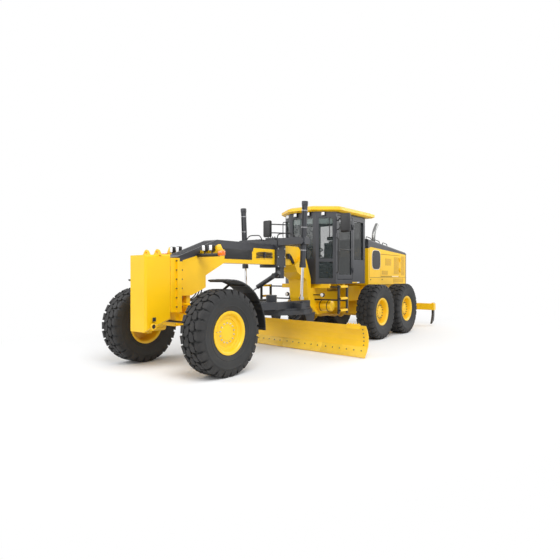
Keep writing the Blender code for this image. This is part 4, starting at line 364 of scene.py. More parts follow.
@dataclass(frozen=True)
class LowDarkFinish(Finish):
    """Paint that is dark below a height and behind a place along the machine."""

    band: Triple = (0.02, 0.02, 0.022)
    dark_below: float = 0.0
    dark_behind: float = -100.0

    def dark(self, graph: Graph, axes: bpy.types.NodeOutputs) -> Socket:
        """Return 1 where the height makes the paint dark, or else 0.

        Args:
            graph: The material's nodes.
            axes: The object coordinates.

        Returns:
            A value socket.
        """
        return graph.maths("LESS_THAN", axes["Z"], self.dark_below)

    def colour_socket(self, graph: Graph, place: Socket) -> Socket:
        """Return the paint's colour with its dark part.

        Args:
            graph: The material's nodes.
            place: The object coordinates.

        Returns:
            A colour socket.
        """
        axes = graph.axes(place)
        behind = graph.maths("LESS_THAN", axes["X"], self.dark_behind)
        either = graph.maths("MAXIMUM", self.dark(graph, axes), behind)
        return graph.mixed(either, super().colour_socket(graph, place), self.band)


@dataclass(frozen=True)
class BandedFinish(LowDarkFinish):
    """Paint whose upper part is dark, above a line that bends from point to point along X."""

    band: Triple = (0.036, 0.037, 0.043)
    line: tuple[Pair, ...] = ((-1.0, 1.0), (1.0, 1.0))

    def dark(self, graph: Graph, axes: bpy.types.NodeOutputs) -> Socket:
        """Return 1 above the line and 0 below it.

        Args:
            graph: The material's nodes.
            axes: The object coordinates.

        Returns:
            A value socket.
        """
        (start, low), (end, high), *_ = self.line
        level = graph.spread(axes["X"], start, end, low, high)
        for (start, low), (end, high) in zip(self.line[1:], self.line[2:]):
            rise = graph.spread(axes["X"], start, end, 0, high - low)
            level = graph.maths("ADD", level, rise)
        return graph.maths("GREATER_THAN", axes["Z"], level)


@dataclass(frozen=True)
class GlassFinish:
    """Clear or tinted glass."""

    name: str
    tint: Triple
    alpha: float
    roughness: Pair = (0.02, 0.06)

    def material(self) -> bpy.types.Material:
        """Return this glass's material, made at its first use."""
        known = bpy.data.materials.get(self.name)
        if known:
            return known
        result, graph, shader = new_material(self.name)
        low, high = self.roughness
        rough = graph.spread(graph.noise(graph.place(), 3), low=low, high=high)
        graph.feed(shader, {"Base Color": (*self.tint, 1), "Alpha": self.alpha, "Roughness": rough})
        return result


PAINT = {"roughness": 0.40, "coat": 0.10, "wander": 0.045, "wear": 0.55}
YELLOW = Finish("machine_yellow", (0.93, 0.55, 0.0), **PAINT)
RIM_YELLOW = Finish("wheel_yellow", (0.90, 0.55, 0.005), 0.38, coat=0.1, wander=0.04, wear=0.35)
CHARCOAL = Finish("frame_charcoal", (0.029, 0.031, 0.037), 0.42, wander=0.12,
                  grain_scale=160, dust=0.10, wear=0.5, wear_colour=(0.20, 0.20, 0.21))
DARK = Finish("dark_casting", (0.030, 0.031, 0.035), 0.50, wander=0.2, grain_scale=120,
              grain_height=0.1, wear=0.5, wear_colour=(0.24, 0.22, 0.20))
BLACK = Finish("black_moulding", (0.013, 0.013, 0.014), 0.45, wander=0.15, grain_scale=260,
               dust=0.08)
RUBBER = Finish("tyre_black", (0.013, 0.014, 0.015), 0.62, wander=0.25, wander_scale=7,
                grain_scale=90, grain_height=0.10, dust=0.03, dust_top=1.4)
TREAD = Finish("tread_black", (0.015, 0.015, 0.016), 0.72, wander=0.3, wander_scale=9,
               grain_scale=60, grain_height=0.18, dust=0.05, dust_top=1.4)
HOSE = Finish("hose_rubber", (0.016, 0.016, 0.017), 0.55, grain_scale=300, dust=0.05)
CHROME = Finish("rod_bright", (0.82, 0.82, 0.84), 0.09, grain=Grain.SMOOTH, metallic=1.0,
                wander=0.02, dust=0)
STEEL = Finish("worn_steel", (0.33, 0.33, 0.34), 0.36, grain=Grain.BRUSHED, metallic=1.0,
               wander=0.15,
               grain_scale=140, grain_height=0.08, dust=0.1)
STUD = Finish("plated_stud", (0.62, 0.62, 0.63), 0.28, grain=Grain.SMOOTH, metallic=1.0, wander=0.1,
              dust=0)
FABRIC = Finish("seat_weave", (0.045, 0.046, 0.052), 0.92, grain=Grain.CLOTH, wander=0.25,
                wander_scale=40,
                grain_scale=420, grain_height=0.5, dust=0)
PIPE = Finish("exhaust_bright", (0.24, 0.24, 0.235), 0.22, grain=Grain.SMOOTH, metallic=1.0,
              wander=0.08, dust=0)
AMBER = Finish("amber_lens", (0.85, 0.17, 0.01), 0.18, grain=Grain.SMOOTH, coat=0.5, dust=0)
RED = Finish("red_lens", (0.45, 0.01, 0.01), 0.18, grain=Grain.SMOOTH, coat=0.5, dust=0)
LENS = Finish("lamp_lens", (0.86, 0.88, 0.90), 0.08, grain=Grain.SMOOTH, coat=0.6, wander=0.05,
              dust=0)
MIRROR = Finish("mirror_glass", (0.72, 0.75, 0.78), 0.04, grain=Grain.SMOOTH, metallic=1.0,
                wander=0.01, dust=0)
BADGE_EDGE = Finish("badge_edge", (0.72, 0.72, 0.70), 0.35, grain=Grain.SMOOTH, wander=0.03, dust=0)
# The machine's yellow at half brightness, for the louvres' back plates: painted shade behind the
# slats.
LOUVRE_SHADE_PAINT = Finish("vent_yellow", (0.50, 0.29, 0.014), 0.55, wander=0.1, dust=0.1)
# Its low band, strong, dark grey-brown and fading out 12 cm up, makes the cutting edges darker
# towards the bottom.
EDGE_PAINT = Finish("edge_yellow", (0.86, 0.55, 0.03), 0.40, coat=0.1, wander=0.09, wander_scale=6,
                    dust=0.35,
                    dust_top=0.12, dust_colour=(0.26, 0.24, 0.21), wear=0.7)
WINDOW = GlassFinish("window_glass", (0.055, 0.075, 0.075), alpha=0.22)
# Dark, nearly opaque glass: painted shade of the cab's interior, seen through the doors and rear
# side panes.
SHADED_INTERIOR_GLASS = GlassFinish("door_glass", (0.012, 0.016, 0.016), alpha=0.72)
SUN_BAND = GlassFinish("sun_band_glass", (0.17, 0.215, 0.205), alpha=0.62)


@dataclass
class Shape:
    """A bmesh under construction, with the operators that the pieces share."""

    mesh: bmesh.types.BMesh

    @classmethod
    def new(cls) -> Shape:
        """Return an empty shape."""
        return cls(bmesh.new())

    @property
    def everything(self) -> list:
        """All vertices, edges and faces made so far."""
        return self.mesh.verts[:] + self.mesh.edges[:] + self.mesh.faces[:]

    def rounded(self, edges: Iterable[bmesh.types.BMEdge], radius: float,
                segments: int = 2) -> list[bmesh.types.BMFace]:
        """Round edges.

        Args:
            edges: The edges.
            radius: Their radius.
            segments: Facets of each rounded edge.

        Returns:
            The new faces.
        """
        return bmesh.ops.bevel(self.mesh, geom=list(edges), offset=radius, segments=segments,
                               affect="EDGES", profile=0.5, material=-1)["faces"]

    def raised(self, face: bmesh.types.BMFace, travel: Point) -> list[bmesh.types.BMVert]:
        """Extrude a face.

        Args:
            face: The face.
            travel: How far it moves.

        Returns:
            The moved corners.
        """
        grown = bmesh.ops.extrude_face_region(self.mesh, geom=[face])["geom"]
        tops = [item for item in grown if isinstance(item, bmesh.types.BMVert)]
        bmesh.ops.translate(self.mesh, verts=tops, vec=Vector(travel))
        return tops

    def block(self, low: Point, high: Point, bevel: float = 0.0, turn: Matrix | None = None,
              segments: int = 2) -> Shape:
        """Add a block between two corners.

        Args:
            low: Lowest corner.
            high: Highest corner.
            bevel: Edge radius.
            turn: A turn about the block's centre.
            segments: Facets of the rounded edge.

        Returns:
            This shape.
        """
        low, high = Vector(low), Vector(high)
        verts = bmesh.ops.create_cube(self.mesh, size=1)["verts"]
        bmesh.ops.scale(self.mesh, vec=high - low, verts=verts)
        if bevel:
            made = self.rounded({edge for vert in verts for edge in vert.link_edges}, bevel,
                                segments)
            verts = list({vert for face in made for vert in face.verts})
        place = Matrix.Translation((high + low) / 2)
        bmesh.ops.transform(self.mesh, matrix=place @ turn.to_4x4() if turn else place, verts=verts)
        return self

    def panel(self, side: int, low: Point, high: Point, bevel: float = 0.0,
              segments: int = 2) -> Shape:
        """Add a block on one side of the machine.

        Args:
            side: 1 for the left side, -1 for the right.
            low: Lowest corner, its Y the distance from the machine's middle.
            high: Highest corner, likewise.
            bevel: Edge radius.
            segments: Facets of the rounded edge.

        Returns:
            This shape.
        """
        near, far = sorted((side * low[1], side * high[1]))
        return self.block((low[0], near, low[2]), (high[0], far, high[2]), bevel, segments=segments)

    def rod(self, start: Point, end: Point, radius: float, segments: int = 24,
            bevel: float = 0.0) -> Shape:
        """Add a round bar between two points.

        Args:
            start: Centre of the first end.
            end: Centre of the second end.
            radius: Its radius.
            segments: Facets round the bar.
            bevel: Rounding of both end edges.

        Returns:
            This shape.
        """
        start, end = Vector(start), Vector(end)
        turn = Z_AXIS.rotation_difference(end - start).to_matrix().to_4x4()
        verts = bmesh.ops.create_cone(self.mesh, cap_ends=True, cap_tris=False, segments=segments,
                                      radius1=radius, radius2=radius, depth=(end - start).length,
                                      matrix=Matrix.Translation((start + end) / 2) @ turn)["verts"]
        if bevel:
            caps = [face for face in {face for vert in verts for face in vert.link_faces}
                    if len(face.verts) == segments]
            self.rounded({edge for face in caps for edge in face.edges}, bevel)
        return self

    def pin(self, side: int, place: Pair, near: float, far: float, radius: float,
            segments: int = 24, bevel: float = 0.0) -> Shape:
        """Add a round bar across the machine, on one side of it.

        Args:
            side: 1 for the left side, -1 for the right.
            place: The bar's X and Z.
            near: Distance of its inner end from the machine's middle.
            far: Distance of its outer end.
            radius: Its radius.
            segments: Facets round the bar.
            bevel: Rounding of both end edges.

        Returns:
            This shape.
        """
        low, high = sorted((side * near, side * far))
        return self.rod((place[0], low, place[1]), (place[0], high, place[1]), radius, segments,
                        bevel)

    def spun(self, profile: Iterable[Pair], centre: Point, axis: Vector, steps: int,
             closed: bool = False) -> Shape:
        """Spin a profile of (radius, distance) pairs about an axis.

        Args:
            profile: Radius and distance along the axis of each point.
            centre: A point on the axis, where the distance is zero.
            axis: The axis.
            steps: Facets round the spin.
            closed: Whether the profile's last point joins its first.

        Returns:
            This shape.
        """
        centre, axis = Vector(centre), Vector(axis).normalized()
        out = axis.orthogonal().normalized()
        verts = [self.mesh.verts.new(centre + out * radius + axis * along) for radius,
                 along in profile]
        pairs = list(zip(verts, verts[1:])) + ([(verts[-1], verts[0])] if closed else [])
        edges = [self.mesh.edges.new(pair) for pair in pairs]
        bmesh.ops.spin(self.mesh, geom=verts + edges, cent=centre, axis=axis, angle=math.tau,
                       steps=steps, use_merge=True)
        return self

    def path(self, points: Sequence[Point], radius: float, segments: int = 10,
             bend: float = 0.0) -> Shape:
        """Add a round bar through points, with its corners rounded.

        Args:
            points: The corners of the path.
            radius: Radius of the bar.
            segments: Facets round the bar.
            bend: Distance from each corner at which its curve starts.

        Returns:
            This shape.
        """
        route = smoothed([Vector(point) for point in points], bend)
        runs = [(b - a).normalized() for a, b in zip(route, route[1:])]
        turn = Z_AXIS.rotation_difference(runs[0]).to_matrix().to_4x4()
        ring = bmesh.ops.create_circle(self.mesh, cap_ends=True, segments=segments, radius=radius,
                                       matrix=Matrix.Translation(route[0]) @ turn)["verts"]
        face = ring[0].link_faces[0]
        for point, run, ahead in zip(route[1:], runs, runs[1:] + runs[-1:]):
            grown = bmesh.ops.extrude_face_region(self.mesh, geom=[face])["geom"]
            previous = face
            face = next(item for item in grown if isinstance(item, bmesh.types.BMFace))
            if previous.is_valid and point is not route[1]:
                bmesh.ops.delete(self.mesh, geom=[previous], context="FACES_ONLY")
            normal = (run + ahead).normalized()
            for vert in face.verts:
                vert.co += run * ((point - vert.co).dot(normal) / run.dot(normal))
        return self

    def prism(self, outline: Sequence[Point], travel: Point, bevel: float = 0.0) -> Shape:
        """Extrude a flat outline.

        Args:
            outline: Corners of the outline.
            travel: How far it is extruded.
            bevel: Rounding of all its edges.

        Returns:
            This shape.
        """
        verts = [self.mesh.verts.new(Vector(point)) for point in outline]
        tops = self.raised(self.mesh.faces.new(verts), travel)
        if bevel:
            self.rounded({edge for vert in verts + tops for edge in vert.link_edges}, bevel)
        return self

    def around(self, centre: Point, axis: Vector, count: int) -> Shape:
        """Repeat the whole shape round an axis.

        Args:
            centre: A point on the axis.
            axis: The axis.
            count: How many there are in all.

        Returns:
            This shape.
        """
        bmesh.ops.spin(self.mesh, geom=self.everything, cent=Vector(centre), axis=Vector(axis),
                       angle=math.tau * (count - 1) / count, steps=count - 1, use_duplicate=True)
        return self

    def build(self, name: str, body: str, slot: Slot, finish: Finish | GlassFinish,
              replaces: Sequence[str] = (), smooth: float = 35) -> bpy.types.Object:
        """Make the object, dress it and let it ride.

        Args:
            name: The piece's name.
            body: The body that it rides on.
            slot: The record's slot of its finish; not used.
            finish: The finish.
            replaces: The CAD nodes that it stands for.
            smooth: Edges under this angle in degrees are smooth.

        Returns:
            The object.
        """
        bmesh.ops.remove_doubles(self.mesh, verts=self.mesh.verts[:], dist=0.00005)
        bmesh.ops.recalc_face_normals(self.mesh, faces=self.mesh.faces[:])
        mesh = bpy.data.meshes.new(name)
        self.mesh.to_mesh(mesh)
        self.mesh.free()
        mesh.shade_smooth()
        mesh.set_sharp_from_angle(angle=math.radians(smooth))
        mesh.materials.append(finish.material())
        result = bpy.data.objects.new(name, mesh)
        bpy.context.collection.objects.link(result)
        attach(result, body)
        if replaces:
            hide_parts(*replaces)
        LOG.info("%s: %d faces on %s", name, len(mesh.polygons), body)
        return result


def smoothed(route: list[Vector], bend: float) -> list[Vector]:
    """Round the corners of a path.

    Args:
        route: The path's corners.
        bend: Distance from each corner at which its curve starts.

    Returns:
        The path with each inner corner replaced by a few points.
    """
    if not bend:
        return route
    result = [route[0]]
    for before, corner, after in zip(route, route[1:], route[2:]):
        reach = min(bend, (corner - before).length / 2.05, (after - corner).length / 2.05)
        start = corner + (before - corner).normalized() * reach
        end = corner + (after - corner).normalized() * reach
        for share in (0, 0.25, 0.5, 0.75, 1):
            result.append(start.lerp(corner, share).lerp(corner.lerp(end, share), share))
    return result + [route[-1]]


def on_side(side: int, points: Iterable[Point]) -> list[Vector]:
    """Return points on one side of the machine.

    Args:
        side: 1 for the left side, -1 for the right.
        points: The points, their Y the distance from the machine's middle.

    Returns:
        The points.
    """
    return [Vector((x, side * y, z)) for x, y, z in points]


class Row(Enum):
    """The wheel rows, with the place of each along the machine."""

    FRONT = 4.2545
    MIDDLE = -1.1355
    REAR = -2.6755


@dataclass
class Wheel:
    """A wheel: the tyre's carcass and tread, the rim and its studs."""

    row: Row
    hand: str
    sign: int
    track_half: float = 1.03
    radius: float = 0.674
    lug_count: int = 26
    steps: int = 96
    stud_radius: float = 0.0095
    stud_count: int = 14
    rim_scale: float = 0.95
    # Half of the section from the middle of the tread to the bead, as width and radius.
    # The lugs rise from the floor to the crest.
    floor: tuple[Pair, ...] = (
        (0.0, 0.646), (0.06, 0.6455), (0.12, 0.644), (0.165, 0.638), (0.190, 0.624), (0.205, 0.604),
        (0.2165, 0.580), (0.2205, 0.560))
    crest: tuple[Pair, ...] = (
        (0.0, 0.674), (0.06, 0.6738), (0.12, 0.673), (0.172, 0.669), (0.200, 0.656),
        (0.2145, 0.630),
        (0.2215, 0.590), (0.2212, 0.560))
    wall: tuple[Pair, ...] = (
        (0.2213, 0.545), (0.2222, 0.542), (0.2222, 0.536), (0.2208, 0.533), (0.2190, 0.500),
        (0.2120, 0.455), (0.2040, 0.425), (0.2055, 0.421), (0.2050, 0.413), (0.1990, 0.408),
        (0.1880, 0.375), (0.1765, 0.346), (0.1710, 0.328), (0.1700, 0.312))

    @property
    def name(self) -> str:
        """The wheel's part of every name."""
        return f"{self.row.name.lower()}_{self.hand}"

    @property
    def body(self) -> str:
        """The body that the wheel rides on."""
        return f"wheel_{self.name}"

    @property
    def centre(self) -> Vector:
        """The wheel's centre."""
        return Vector((self.row.value, self.sign * self.track_half, self.radius))

    def placed(self, shape: Shape) -> Shape:
        """Move a shape made about the origin to the wheel, its outer face outwards.

        Args:
            shape: The shape, whose +Y is the outer side.

        Returns:
            The same shape.
        """
        face = Matrix.Diagonal((1, self.sign, 1, 1))
        bmesh.ops.transform(shape.mesh, matrix=Matrix.Translation(self.centre) @ face,
                            verts=shape.mesh.verts[:])
        return shape

    def carcass(self) -> None:
        """Spin the tyre's section, with the moulded rings of its sidewalls."""
        half = [(radius, along) for along, radius in (*self.floor, *self.wall)]
        section = half + [(radius, -along) for radius, along in reversed(half[1:])]
        shape = Shape.new().spun(section, (0, 0, 0), Y_AXIS, self.steps, closed=True)
        self.placed(shape).build(f"tyre_{self.name}_carcass", self.body, Slot.TYRE, RUBBER,
                                 replaces=(f"tyre_{self.name}",), smooth=28)

    def wrapped(self, outline: Sequence[Pair], shape: Shape) -> None:
        """Raise one tread block and lay it round the tyre.

        Args:
            outline: Corners as angle in degrees and knot of the section.
            shape: The shape that the block joins.
        """
        block = Shape.new().prism([(angle, knot, 0) for angle, knot in outline], (0, 0, 1))
        for knot in range(1, len(self.floor) - 1):
            bmesh.ops.bisect_plane(block.mesh, geom=block.everything, plane_co=(0, knot, 0),
                                   plane_no=(0, 1, 0), dist=1e-5)
        for vert in block.mesh.verts:
            angle, knot, height = vert.co
            low = min(int(knot), len(self.floor) - 2)
            part = knot - low
            base = Vector(self.floor[low]).lerp(Vector(self.floor[low + 1]), part)
            top = Vector(self.crest[low]).lerp(Vector(self.crest[low + 1]), part)
            width, radius = base.lerp(top, height) if height else base.lerp(top, -0.15)
            turn = math.radians(angle)
            vert.co = (radius * math.sin(turn), width, radius * math.cos(turn))
        block.rounded((edge for edge in block.mesh.edges if len(edge.link_faces) == 2
                       and edge.calc_face_angle(0) > math.radians(50)), 0.0035, 1)
        scratch = bpy.data.meshes.new("scratch")
        block.mesh.to_mesh(scratch)
        block.mesh.free()
        shape.mesh.from_mesh(scratch)
        bpy.data.meshes.remove(scratch)

    def tread(self) -> None:
        """Set the shoulder lugs and centre blocks round the tyre."""
        pitch = 360 / self.lug_count
        shape = Shape.new()
        self.wrapped(((0.06 * pitch, 2.05), (0.34 * pitch, 1.80), (0.70 * pitch, 2.05),
                      (0.80 * pitch, 3.2),
                      (0.77 * pitch, 4.6), (0.82 * pitch, 7.0), (0.06 * pitch, 7.0),
                      (0.02 * pitch, 4.6),
                      (0.03 * pitch, 3.2)), shape)
        self.wrapped(((0.12 * pitch, 0.09), (0.78 * pitch, 0.09), (0.97 * pitch, 0.70),
                      (0.90 * pitch, 1.78),
                      (0.42 * pitch, 1.62), (0.06 * pitch, 0.80)), shape)
        made = bmesh.ops.duplicate(shape.mesh, geom=shape.everything)["geom"]
        verts = [item for item in made if isinstance(item, bmesh.types.BMVert)]
        swap = Matrix.Rotation(math.radians(pitch / 2), 4, "Y") @ Matrix.Diagonal((1, -1, 1, 1))
        bmesh.ops.transform(shape.mesh, matrix=swap, verts=verts)
        shape.around((0, 0, 0), Y_AXIS, self.lug_count)
        self.placed(shape).build(f"tyre_{self.name}_tread", self.body, Slot.TYRE, TREAD, smooth=16)

    def rim_section(self) -> list[Pair]:
        """Return the rim's section as radius and distance outwards, from the axis round to it."""
        flange = [(0.300, 0.150), (0.306, 0.166), (0.322, 0.181), (0.342, 0.186), (0.3555, 0.184),
                  (0.3560, 0.174), (0.345, 0.171), (0.333, 0.168), (0.329, 0.150)]
        inner = [(radius, -along) for radius, along in reversed(flange)]
        if self.row is Row.FRONT:
            face = [(0.0, 0.118), (0.118, 0.118), (0.124, 0.112), (0.200, 0.112), (0.214, 0.104),
                    (0.232, 0.104), (0.240, 0.120), (0.262, 0.124), (0.288, 0.124), (0.296, 0.136)]
            back = [(0.300, 0.08), (0.28, 0.088), (0.0, 0.088)]
        else:
            face = [(0.0, 0.096), (0.192, 0.096), (0.200, 0.088), (0.206, 0.030), (0.222, 0.012),
                    (0.252, 0.012), (0.272, 0.024), (0.286, 0.050), (0.292, 0.11)]
            back = [(0.300, -0.11), (0.27, -0.105), (0.0, -0.10)]
        return [(radius * self.rim_scale, along) for radius, along in face + flange + inner + back]

    def rim(self) -> None:
        """Spin the rim with its disc."""
        shape = Shape.new().spun(self.rim_section(), (0, 0, 0), Y_AXIS, self.steps)
        self.placed(shape).build(f"rim_{self.name}_dished", self.body, Slot.YELLOW, RIM_YELLOW,
                                 replaces=(f"rim_{self.name}",), smooth=32)

    def studs(self) -> None:
        """Set the wheel studs, with the valve beside them, and the rear wheels' hubs."""
        front = self.row is Row.FRONT
        ring, face = (0.152, 0.112) if front else (0.162, 0.096)
        shape = Shape.new()
        for start, end, share, segments, bevel in ((-0.002, 0.014, 1.35, 6, 0.0015),
                                                   (0.012, 0.026, 0.7, 8, 0.001)):
            shape.rod((0, face + start, ring), (0, face + end, ring), self.stud_radius * share,
                      segments,
                      bevel=bevel)
        shape.around((0, 0, 0), Y_AXIS, self.stud_count)
        shape.rod((0.218, face, 0.03), (0.222, face + 0.035, 0.03), 0.006, 8)
        self.placed(shape).build(f"studs_{self.name}", self.body, Slot.STEEL,
                                 STUD if front else DARK,
                                 smooth=40)
        if not front:
            hub = Shape.new().rod((0, face - 0.004, 0), (0, face + 0.016, 0), 0.118, 48,
                                  bevel=0.006)
            hub.rod((0, face + 0.012, 0), (0, face + 0.024, 0), 0.045, 32, bevel=0.004)
            self.placed(hub).build(f"hub_{self.name}", self.body, Slot.YELLOW, RIM_YELLOW)

    def build(self) -> None:
        """Build the whole wheel."""
        self.carcass()
        self.tread()
        self.rim()
        self.studs()


@dataclass
class Gooseneck:
    """Dress of the front frame: blank name plates, treads, bolts, nose lamps and hoses."""

    nose_x: float = 4.4145
    half: float = 0.17
    top: float = 2.20
    apex_x: float = 3.4945
    nose_top: float = 1.86
    plate: tuple[Pair, ...] = ((2.55, 1.865), (3.31, 2.055))
    tread: float = 0.006
    flange_bolts: tuple[int, float, float] = (6, 1.045, 0.15)
    lamp_x: float = 3.95
    lamp_places: Places = (0.335, 0.505)
    gusset: tuple[Pair, ...] = ((0.165, 1.93), (0.30, 1.93), (0.74, 1.94), (0.66, 2.075),
                                               (0.60, 2.075), (0.40, 1.98), (0.165, 1.99))
    hose_foot: float = 1.93
    hose_pitch: float = 0.03
    body: str = "front_frame"

    def deck(self, x: float) -> float:
        """Return the height of the neck's top over a place along it."""
        share = min(max((self.nose_x - x) / (self.nose_x - self.apex_x), 0), 1)
        return self.nose_top + share * (self.top - self.nose_top)

    def plates(self) -> None:
        """Set the blank plates where the neck's sides carry lettering."""
        shape = Shape.new()
        (back, low), (front, high) = self.plate
        for _, side in SIDES:
            shape.panel(side, (back, self.half - 0.001, low), (front, self.half + 0.005, high),
                        bevel=0.002)
        shape.build("name_plates_blank", self.body, Slot.BLACK, BLACK)

    def treads(self) -> None:
        """Lay the ribbed steps over the slope and the flat of the neck."""
        shape = Shape.new()
        slope = math.atan2(self.top - self.nose_top, self.nose_x - self.apex_x)
        turn = Matrix.Rotation(slope, 3, "Y")
        rows = [(4.30 - index * 0.045, 0.135, 0.006, turn) for index in range(17)]
        rows += [(3.42 - index * 0.06, 0.13, 0.005, None) for index in range(26)]
        for x, half, rise, turn in rows:
            z = self.deck(x)
            shape.block((x - self.tread, -half, z - 0.002), (x + self.tread, half, z + rise),
                        bevel=0.002, turn=turn, segments=1)
        shape.build("neck_treads", self.body, Slot.BLACK, DARK)

    def nose_bolts(self) -> None:
        """Bolt the nose weight's flange on both edges."""
        shape = Shape.new()
        count, foot, pitch = self.flange_bolts
        for row in range(count):
            z = foot + row * pitch
            for y in (-0.225, 0.225):
                for start, end, radius in ((0.044, 0.060, 0.013), (-0.046, -0.066, 0.014)):
                    shape.rod((self.nose_x + start, y, z), (self.nose_x + end, y, z), radius, 6,
                              bevel=0.002)
        shape.build("flange_bolts", self.body, Slot.STEEL, DARK)

    def lamps(self) -> None:
        """Set the bar with two driving lamps and a signal on each side of the slope."""
        housings, lenses, signals, bars, gussets = (Shape.new() for _ in range(5))
        x = self.lamp_x
        for _, side in SIDES:
            bars.panel(side, (x - 0.035, 0.165, 1.872), (x + 0.035, 0.67, 1.926), bevel=0.008)
            gussets.prism(on_side(side, ((x - 0.050, y, z) for y, z in self.gusset)), (0.008, 0, 0),
                          bevel=0.002)
            for y in self.lamp_places:
                housings.panel(side, (x - 0.045, y - 0.040, 1.965), (x + 0.030, y + 0.040, 2.075),
                               bevel=0.012)
                housings.rod((x, side * y, 1.92), (x, side * y, 1.97), 0.013, 12)
                lenses.panel(side, (x + 0.026, y - 0.033, 1.975), (x + 0.037, y + 0.033, 2.065),
                             bevel=0.006)
            signals.panel(side, (x - 0.035, 0.668, 1.880), (x + 0.030, 0.79, 1.965), bevel=0.014)
        bars.build("lamp_bars", self.body, Slot.BLACK, BLACK)
        gussets.build("lamp_gussets", self.body, Slot.YELLOW, YELLOW)
        housings.build("lamp_housings", self.body, Slot.BLACK, BLACK)
        lenses.build("lamp_lenses", self.body, Slot.BLACK, LENS)
        signals.build("turn_signals", self.body, Slot.BLACK, AMBER)

    def hoses(self) -> None:
        """Run hoses from the neck's rear to the saddle and down to the drawbar's ball."""
        shape, clamps = Shape.new(), Shape.new()
        for index in range(4):
            z = self.hose_foot + index * self.hose_pitch
            for route in (((1.05, 0.178, z - 0.30), (1.30, 0.190, z), (1.44, 0.190, z)),
                          ((1.93, 0.190, z), (2.30, 0.184, z), (2.42, 0.172, z - 0.02))):
                shape.path(route, 0.010, bend=0.10)
        for y in (-0.06, 0.0, 0.06):
            shape.path([(3.74, y, 1.41), (3.80, y, 1.20), (3.98, y, 1.12), (4.10, y, 1.12)], 0.011,
                       bend=0.12)
        for x in (2.16, 1.34):
            clamps.block((x, 0.169, 1.915), (x + 0.04, 0.203, 2.035), bevel=0.003)
        shape.build("neck_hoses", self.body, Slot.BLACK, HOSE)
        clamps.build("hose_clamps", self.body, Slot.BLACK, DARK)

    def build(self) -> None:
        """Dress the gooseneck."""
        self.plates()
        self.treads()
        self.nose_bolts()
        self.lamps()
        self.hoses()


@dataclass
class NoseWeight:
    """Dress of the nose weight: its ring bosses, and dark sheets that paint the shade in its
    sockets.
    """

    boss: Pair = (4.934, 0.767)
    half: float = 0.2405
    section: tuple[Pair, ...] = ((0.034, -0.002), (0.034, 0.012), (0.040, 0.016),
                                                (0.050, 0.012), (0.054, -0.002))
    body: str = "front_frame"

    def build(self) -> None:
        """Set the ring boss, a dark disc in it and a dark square above it: painted shade of the
        sockets.
        """
        ring, socket = Shape.new(), Shape.new()
        x, z = self.boss
        near, far = self.half - 0.002, self.half + 0.004
        for _, side in SIDES:
            ring.spun(self.section, (x, side * self.half, z), Y_AXIS * side, 40)
            # Dark disc and square, standing proud where the sockets are hollow: painted shade.
            socket.pin(side, self.boss, near, far, 0.034, 32, bevel=0.001)
            socket.panel(side, (x - 0.047, near, z + 0.078), (x + 0.015, far, z + 0.14),
                         bevel=0.0015)
        ring.build("weight_ring_boss", self.body, Slot.YELLOW, YELLOW)
        socket.build("weight_sockets", self.body, Slot.BLACK, DARK)


